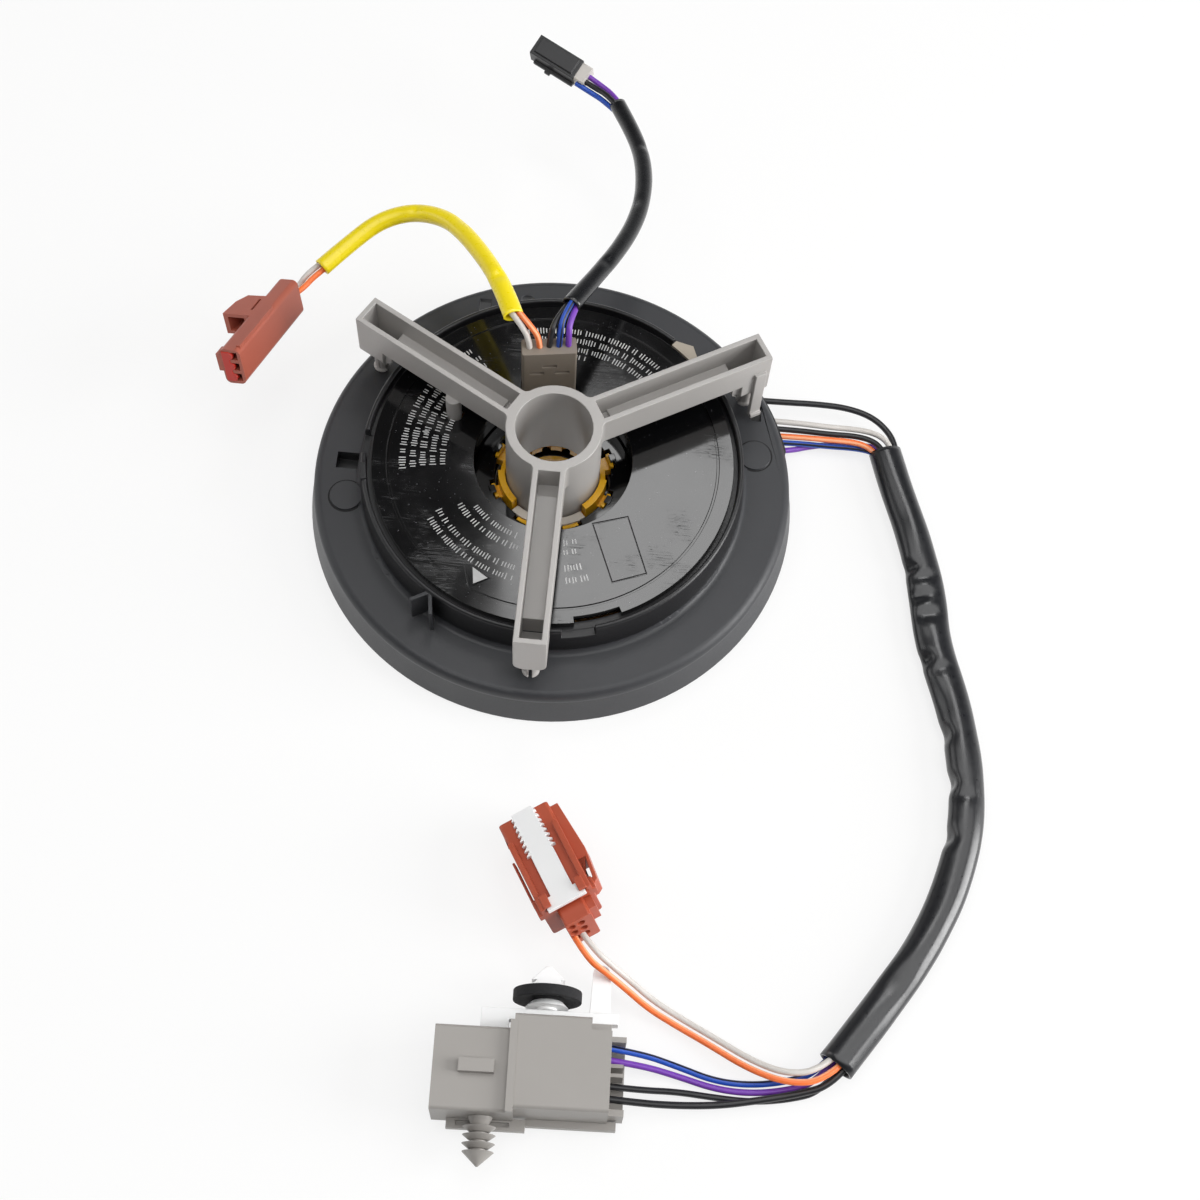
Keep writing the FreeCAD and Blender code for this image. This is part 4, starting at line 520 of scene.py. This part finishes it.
# Terminal blocks: small natural-coloured mouldings in which the ribbon's ends are welded to the
# wires. One shows in the gap of the ring wall, the other is on the hub, under the plug. Unfilled
# PBT gives the eye a matt, waxy beige.
terminal_plastic = moulded("pbt_natural_matt", "#b3aa9c", "#a59b8d", 0.45)
dress("inner_terminal", terminal_plastic)
dress("ribbon_terminal", terminal_plastic)

# Outer housing: skirt, flange and ring wall in one glass-filled moulding with a spark-eroded
# grain. The mould leaves its edges slightly round, and they catch the light.


def eased(node, width, material, body, clamp=False):
    """A copy of a CAD piece with its sharp edges rounded by width, as a mould leaves them. clamp
    keeps the rounding of a piece with very short edges from crossing itself."""
    weld, flat, sharp, crisp = 2e-6, 0.5, 32, 50
    shape = bmesh.new()
    shape.from_mesh(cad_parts[node].data)
    bmesh.ops.remove_doubles(shape, verts=shape.verts, dist=weld)
    bmesh.ops.dissolve_limit(
        shape, angle_limit=math.radians(flat), verts=shape.verts, edges=shape.edges)
    edges = [e for e in shape.edges
             if len(e.link_faces) == 2 and e.calc_face_angle() > math.radians(sharp)]
    bmesh.ops.bevel(shape, geom=edges, offset=width, offset_type="OFFSET", segments=2, profile=0.5,
                    affect="EDGES", material=-1, clamp_overlap=clamp)
    mesh = bpy.data.meshes.new(node + "_eased")
    shape.to_mesh(mesh)
    shape.free()
    mesh.polygons.foreach_set("use_smooth", [True] * len(mesh.polygons))
    mesh.set_sharp_from_angle(angle=math.radians(crisp))
    mesh.materials.clear()
    mesh.materials.append(material)
    piece = bpy.data.objects.new("dressed_" + node, mesh)
    scene.collection.objects.link(piece)
    even = piece.modifiers.new("even", "WEIGHTED_NORMAL")
    even.keep_sharp = True
    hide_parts(node)
    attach(piece, body)
    return piece


housing = eased("outer_housing", 0.00015, housing_plastic, "housing")

# Lead exit block: a moulded insert in the skirt's window. It is pressed in from outside and clamps
# the six wires. Unfilled black PBT gives the eye a deeper, more even satin than the housing has.
black_pbt = moulded("pbt_black_satin", "#212123", "#19191b", 0.42)
eased("lead_exit_block", 0.00015, black_pbt, "housing")

# Ring wall and left window: both are one moulding with the flange, but they take a near-black copy
# of its plastic, which is painted shade: the ring wall and the pocket under the flange's left
# window lie in shade. A lower roughness also makes them glossier than the grained flange between
# them.
housing.data.materials.append(
    moulded("pbt_glass_filled_painted_shade_wall", "#1d1d1f", "#161618", 0.36, 0.0005, 0.00001))
wall_foot_radius, wall_foot_z = 0.0471, 0.0129
pocket_half_width = 0.006
pocket_inner, pocket_outer = 0.0469, 0.0560
pocket_low, pocket_high = 0.0070, 0.0113
# Faces of the ring wall and of the window pocket take the painted shade copy of the plastic.
for face in housing.data.polygons:
    x, y, z = face.center
    out = math.hypot(x, y)
    in_wall = out < wall_foot_radius and z > wall_foot_z
    in_pocket = (x < 0 and abs(y) < pocket_half_width and pocket_inner < out < pocket_outer
                 and pocket_low < z < pocket_high and face.normal.z > -0.5)
    if in_wall or in_pocket:
        face.material_index = 1

# Boss seam shadows: a narrow groove rings each of the two round pads on the flange and lies in
# shadow. The shadow is painted: a thin near-black ring with no shine, laid at the pad's foot.
shadowed = moulded("pbt_glass_filled_groove_shadow", "#09090a", "#060607", 0.70)
groove_inner, groove_outer, groove_z = 0.00390, 0.00445, 0.01153
seam_shadows = bmesh.new()
for angle, out in ((13.1, 0.0506), (191.8, 0.0507)):
    turn = math.radians(angle)
    middle = Matrix.Translation((out * math.cos(turn), out * math.sin(turn), groove_z))
    inner = bmesh.ops.create_circle(seam_shadows, segments=64, radius=groove_inner, matrix=middle)["verts"]
    outer = bmesh.ops.create_circle(seam_shadows, segments=64, radius=groove_outer, matrix=middle)["verts"]
    rims = [e for e in seam_shadows.edges
            if not e.link_faces and (e.verts[0] in inner or e.verts[0] in outer)]
    bmesh.ops.bridge_loops(seam_shadows, edges=rims)
bmesh.ops.recalc_face_normals(seam_shadows, faces=seam_shadows.faces)
seam_shadow_mesh = bpy.data.meshes.new("boss_seam_painted_shadows")
seam_shadows.to_mesh(seam_shadow_mesh)
seam_shadow_mesh.materials.append(shadowed)
seam_shadow_piece = bpy.data.objects.new("boss_seam_painted_shadows", seam_shadow_mesh)
scene.collection.objects.link(seam_shadow_piece)
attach(seam_shadow_piece, "housing")

# Rotor: the hub and the disc are a black glossy moulding. Polishing and handling leave hairline
# scratches that run every way, and fingertips leave dull patches.
polished = bpy.data.materials.new("polycarbonate_black_polished")
# To the eye: a black mirror of the studio under a veil of scuffs. The hairlines are as fine as real
# ones and lie in patches some 18 mm across. Specks of dust are drawn half a millimetre apart,
# coarser than they are, so that they show.
hairlines_in_a_metre, hairline_level, hairline_edge = 42.0, 0.56, 0.006
patches_in_a_metre = 55.0
specks_in_a_metre = 1800.0
tree = new_tree(polished)
spot = add(tree, "ShaderNodeTexCoord").outputs["Object"]
lines = None
for turn, stretch, seed in ((18, 26, 0.0), (74, 34, 3.0), (128, 22, 7.0), (160, 40, 11.0)):
    lay = add(tree, "ShaderNodeMapping", {
        "Vector": spot, "Location": (seed, seed, 0), "Rotation": (0, 0, math.radians(turn)),
        "Scale": (1, stretch, 1)})
    hair = add(tree, "ShaderNodeTexNoise", {
        "Vector": lay.outputs[0], "Scale": hairlines_in_a_metre, "Detail": 2.0, "Roughness": 0.5})
    off = add(tree, "ShaderNodeMath", {0: hair.outputs[0], 1: hairline_level}, operation="SUBTRACT")
    off = add(tree, "ShaderNodeMath", {0: off.outputs[0]}, operation="ABSOLUTE")
    mark = add(tree, "ShaderNodeMapRange", {
        "Value": off.outputs[0], "From Min": 0.0, "From Max": hairline_edge,
        "To Min": 1.0, "To Max": 0.0})
    if lines is None:
        lines = mark
    else:
        lines = add(tree, "ShaderNodeMath", {
            0: lines.outputs[0], 1: mark.outputs[0]}, operation="MAXIMUM")
patch = add(tree, "ShaderNodeTexNoise", {
    "Vector": spot, "Scale": patches_in_a_metre, "Detail": 4.0, "Roughness": 0.6})
where = add(tree, "ShaderNodeMapRange", {
    "Value": patch.outputs[0], "From Min": 0.55, "From Max": 0.74})
scratch = add(tree, "ShaderNodeMath", {
    0: lines.outputs[0], 1: where.outputs[0]}, operation="MULTIPLY")
dust = add(tree, "ShaderNodeTexNoise", {
    "Vector": spot, "Scale": specks_in_a_metre, "Detail": 2.0})
speck = add(tree, "ShaderNodeMapRange", {
    "Value": dust.outputs[0], "From Min": 0.72, "From Max": 0.78})
tint = add(tree, "ShaderNodeMix", {
    0: scratch.outputs[0], 6: paint("#0b0b0c"), 7: paint("#2c2d30")}, data_type="RGBA")
tint = add(tree, "ShaderNodeMix", {
    0: speck.outputs[0], 6: tint.outputs[2], 7: paint("#6d6e72")}, data_type="RGBA")
rough = add(tree, "ShaderNodeMapRange", {
    "Value": patch.outputs[0], "From Min": 0.3, "From Max": 0.7, "To Min": 0.06, "To Max": 0.13})
rough = add(tree, "ShaderNodeMath", {
    0: rough.outputs[0], 1: scratch.outputs[0]}, operation="ADD")
relief = add(tree, "ShaderNodeBump", {
    "Height": scratch.outputs[0], "Strength": 0.2, "Distance": 0.00002}, invert=True)
skin = add(tree, "ShaderNodeBsdfPrincipled", {
    "Base Color": tint.outputs[2], "Roughness": rough.outputs[0], "IOR": 1.58,
    "Normal": relief.outputs[0]})
add(tree, "ShaderNodeOutputMaterial", {"Surface": skin.outputs[0]})
eased("rotor_hub", 0.00012, polished, "rotor")
eased("rotor_disc", 0.00008, polished, "rotor")

# Pad printing on the disc: rows of short plain bars and two small triangles, stamped on as a thin
# film of white ink. To the eye the ink is a dull white that handling has worn to grey in patches of
# about 11 mm.
ink = moulded("pad_print_ink_white_matt", "#ecece9", "#8d8e92", 0.6, 0.0002, 0.00001, drift=90.0)
ink_thickness = 0.00002
bar_half_width = 0.00013
bar_half_heights = (0.00062, 0.00062, 0.00084)
bar_pitch = 0.00074
printing = bmesh.new()
ink_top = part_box("rotor_disc")[1].z + ink_thickness
chance = random.Random(11)
for radius, start, end in (
        (0.0364, -170, -209), (0.0339, -170.5, -209), (0.0315, -171, -208), (0.0291, -171, -206),
        (0.0267, -171, -200), (0.0366, -228, -231), (0.0338, -228, -232), (0.0313, -228, -232),
        (0.0368, 105, 47), (0.0343, 100, 47), (0.0317, 84, 50), (0.0296, 85.5, 79),
        (0.0335, -145, -101), (0.0307, -147, -101), (0.0255, -145, -103), (0.0226, -139, -107),
        (0.0328, -79, -70), (0.0296, -79, -70), (0.0254, -78.5, -70), (0.0229, -78, -70)):
    turn = -1 if end < start else 1
    step = math.degrees(bar_pitch / radius)
    angle = start
    while turn * (end - angle) > 0:
        for _ in range(chance.randint(2, 8)):
            if turn * (end - angle) <= 0:
                break
            tall = chance.choice(bar_half_heights)
            rad = math.radians(angle)
            place = Matrix.Translation((radius * math.cos(rad), radius * math.sin(rad), ink_top))
            place = place @ Matrix.Rotation(rad, 4, "Z")
            bar = Matrix.Diagonal((tall, bar_half_width, 1, 1))
            bmesh.ops.create_grid(printing, x_segments=1, y_segments=1, size=1, matrix=place @ bar)
            angle += turn * step * chance.uniform(0.85, 1.15)
        angle += turn * step * 0.9
for corners in (
        [(-0.0324, 0.0043), (-0.0307, 0.0050), (-0.0311, 0.0034)],
        [(-0.0160, -0.0309), (-0.0154, -0.0352), (-0.0122, -0.0334)]):
    triangle = [printing.verts.new((x, y, ink_top)) for x, y in corners]
    bmesh.ops.contextual_create(printing, geom=triangle)
bmesh.ops.recalc_face_normals(printing, faces=printing.faces)
for face in printing.faces:
    if face.normal.z < 0:
        face.normal_flip()
print_mesh = bpy.data.meshes.new("disc_printing")
printing.to_mesh(print_mesh)
print_mesh.materials.append(ink)
print_piece = bpy.data.objects.new("disc_printing", print_mesh)
scene.collection.objects.link(print_piece)
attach(print_piece, "rotor")

# Rotor plug: the moulded block that is pushed in at the back of the well and holds the crimped ends
# of the top leads' wires. Unfilled PBT gives the eye a matt beige with hardly any highlight.
plug_plastic = moulded("pbt_beige_matt", "#897f74", "#7d7469", 0.46)
eased("rotor_plug", 0.00005, plug_plastic, "rotor")

# Lock ring: moulded in yellow acetal, with two ears that stand up beside the tube and a cream wear
# cap in front. A black retainer ring holds it down against its steel spring. Acetal gives the eye a
# smooth, slightly greasy shine.
yellow_acetal = moulded("acetal_yellow_smooth", "#fac01c", "#e9a914", 0.30, 0.0005, 0.00001, 0.1)
cream_acetal = moulded("acetal_cream_smooth", "#ded6ca", "#cfc5b7", 0.34)
eased("lock_ring", 0.0001, yellow_acetal, "lock_ring", clamp=True)
eased("lock_ring_cap", 0.0002, cream_acetal, "lock_ring")
eased("retainer_ring", 0.0001, polished, "rotor", clamp=True)
drawn_wire = bpy.data.materials.new("spring_steel_drawn")
# To the eye: soft grey glints. The marks of the die are drawn 0.7 mm apart, coarser than they are.
draw_marks_in_a_metre = 1500.0
tree = new_tree(drawn_wire)
spot = add(tree, "ShaderNodeTexCoord").outputs["Object"]
draw = add(tree, "ShaderNodeTexNoise", {
    "Vector": spot, "Scale": draw_marks_in_a_metre, "Detail": 2.0})
rough = add(tree, "ShaderNodeMapRange", {
    "Value": draw.outputs[0], "To Min": 0.22, "To Max": 0.42})
skin = add(tree, "ShaderNodeBsdfPrincipled", {
    "Base Color": paint("#a9aaab"), "Metallic": 1.0, "Roughness": rough.outputs[0]})
add(tree, "ShaderNodeOutputMaterial", {"Surface": skin.outputs[0]})
dress("lock_spring", drawn_wire)

# Bore liner: a thin ring of the same yellow acetal, snapped in low in the hub's bore. The twelve
# lobes of its inner edge centre the steering shaft.
liner_outer, liner_inner, liner_middle = 0.00935, 0.0086, 0.009
liner_foot_z, liner_outer_z, liner_inner_z = 0.0045, 0.0059, 0.0057
lobes, lobe_depth = 12, 0.035
liner = bmesh.new()
start = liner.verts.new((liner_outer, 0, liner_foot_z))
corner = liner.verts.new((liner_outer, 0, liner_outer_z))
inner = liner.verts.new((liner_inner, 0, liner_inner_z))
inner_low = liner.verts.new((liner_inner, 0, liner_foot_z))
section = [liner.edges.new((start, corner)), liner.edges.new((corner, inner)),
           liner.edges.new((inner, inner_low)), liner.edges.new((inner_low, start))]
bmesh.ops.spin(liner, geom=section + [start, corner, inner, inner_low], axis=(0, 0, 1),
               cent=(0, 0, 0), angle=math.tau, steps=96, use_merge=True)
for vertex in liner.verts:
    out = math.hypot(vertex.co.x, vertex.co.y)
    if out < liner_middle:
        turn = math.atan2(vertex.co.y, vertex.co.x)
        lobe = 1 - lobe_depth * max(0.0, math.cos(lobes * turn))
        vertex.co.x *= lobe
        vertex.co.y *= lobe
bmesh.ops.recalc_face_normals(liner, faces=liner.faces)
liner_mesh = bpy.data.meshes.new("bore_liner")
liner.to_mesh(liner_mesh)
liner_mesh.materials.append(yellow_acetal)
liner_piece = bpy.data.objects.new("bore_liner", liner_mesh)
scene.collection.objects.link(liner_piece)
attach(liner_piece, "rotor")

# Shipping lock: a three-armed polypropylene moulding. Its tube stands in the lock ring, its arms
# are open channels, and split pins under their feet hold the rotor still until it is fitted.
# Polypropylene gives the eye a soft, slightly waxy warm grey.
lock_plastic = moulded("polypropylene_warm_grey", "#b4b1ae", "#a7a4a1", 0.34, 0.0004, 0.00003)
eased("shipping_lock", 0.00022, lock_plastic, "shipping_lock")

# Airbag connector: a slim moulded housing on the yellow lead, with a latch loop on its back and a
# lock strip that is pushed in once it is mated. To the eye the housing is a dusty red-brown and the
# strip a clear red, both satin.
maroon = moulded("pbt_red_brown", "#b0604d", "#a45443", 0.38)
signal_red = moulded("pbt_signal_red", "#cc3a2d", "#bb2c20", 0.38)
eased("airbag_connector", 0.0001, maroon, "rotor", clamp=True)
eased("airbag_connector_lock", 0.0001, signal_red, "rotor")
tinned = bpy.data.materials.new("tinned_brass_stamped")
# To the eye: a pale warm metal. Its press marks are drawn 0.8 mm apart, coarser than they are.
press_marks_in_a_metre = 1200.0
tree = new_tree(tinned)
spot = add(tree, "ShaderNodeTexCoord").outputs["Object"]
press = add(tree, "ShaderNodeTexNoise", {
    "Vector": spot, "Scale": press_marks_in_a_metre, "Detail": 2.0})
rough = add(tree, "ShaderNodeMapRange", {
    "Value": press.outputs[0], "To Min": 0.25, "To Max": 0.45})
skin = add(tree, "ShaderNodeBsdfPrincipled", {
    "Base Color": paint("#cfc3a0"), "Metallic": 1.0, "Roughness": rough.outputs[0]})
add(tree, "ShaderNodeOutputMaterial", {"Surface": skin.outputs[0]})
for node in ("airbag_contacts", "switch_contacts", "column_contacts", "body_contacts"):
    dress(node, tinned)

# Switch connector: a small housing on the black lead, moulded in the same black PBT as the lead
# exit block. The holder snapped on its wire end gives the eye a pale, nearly matt grey.
pale_grey = moulded("pbt_pale_grey", "#c8c4bf", "#bab5af", 0.42)
eased("switch_connector", 0.00018, black_pbt, "rotor")
eased("switch_connector_rear", 0.0001, pale_grey, "rotor")

# Column connector: a moulded housing with a holder snapped on its wire end and a toothed clip on
# its back. To the eye the PBT is a satin brick brown, and the clip's nylon a smooth bright white.
brown = moulded("pbt_brick_brown", "#b8553a", "#ab4b31", 0.38)
eased("column_connector", 0.0002, brown, "housing")
eased("column_connector_rear", 0.00012, brown, "housing")
nylon = moulded("nylon_natural_white", "#f8f8f8", "#eeefef", 0.34, 0.0005, 0.00001)
eased("column_clip", 0.00012, nylon, "housing")

# Body connector: a housing held by a nylon clip through a foam washer, and by a fir tree that is
# pushed into a hole. To the eye the PBT is a matt light grey and the closed-cell foam a dull black,
# whose fine cells are drawn at 0.6 mm so that they show.
pale_pbt = moulded("pbt_light_grey_matt", "#a29e9a", "#96928d", 0.42)
eased("body_connector", 0.0001, pale_pbt, "housing", clamp=True)
eased("connector_bracket", 0.00012, nylon, "housing")
eased("arrow_clip", 0.00012, nylon, "housing")
eased("fir_tree_fastener", 0.00012, pale_pbt, "housing")
closed_foam = moulded("foam_black_closed_cell", "#232325", "#141416", 0.85, 0.0006, 0.0003)
eased("foam_washer", 0.0002, closed_foam, "housing")
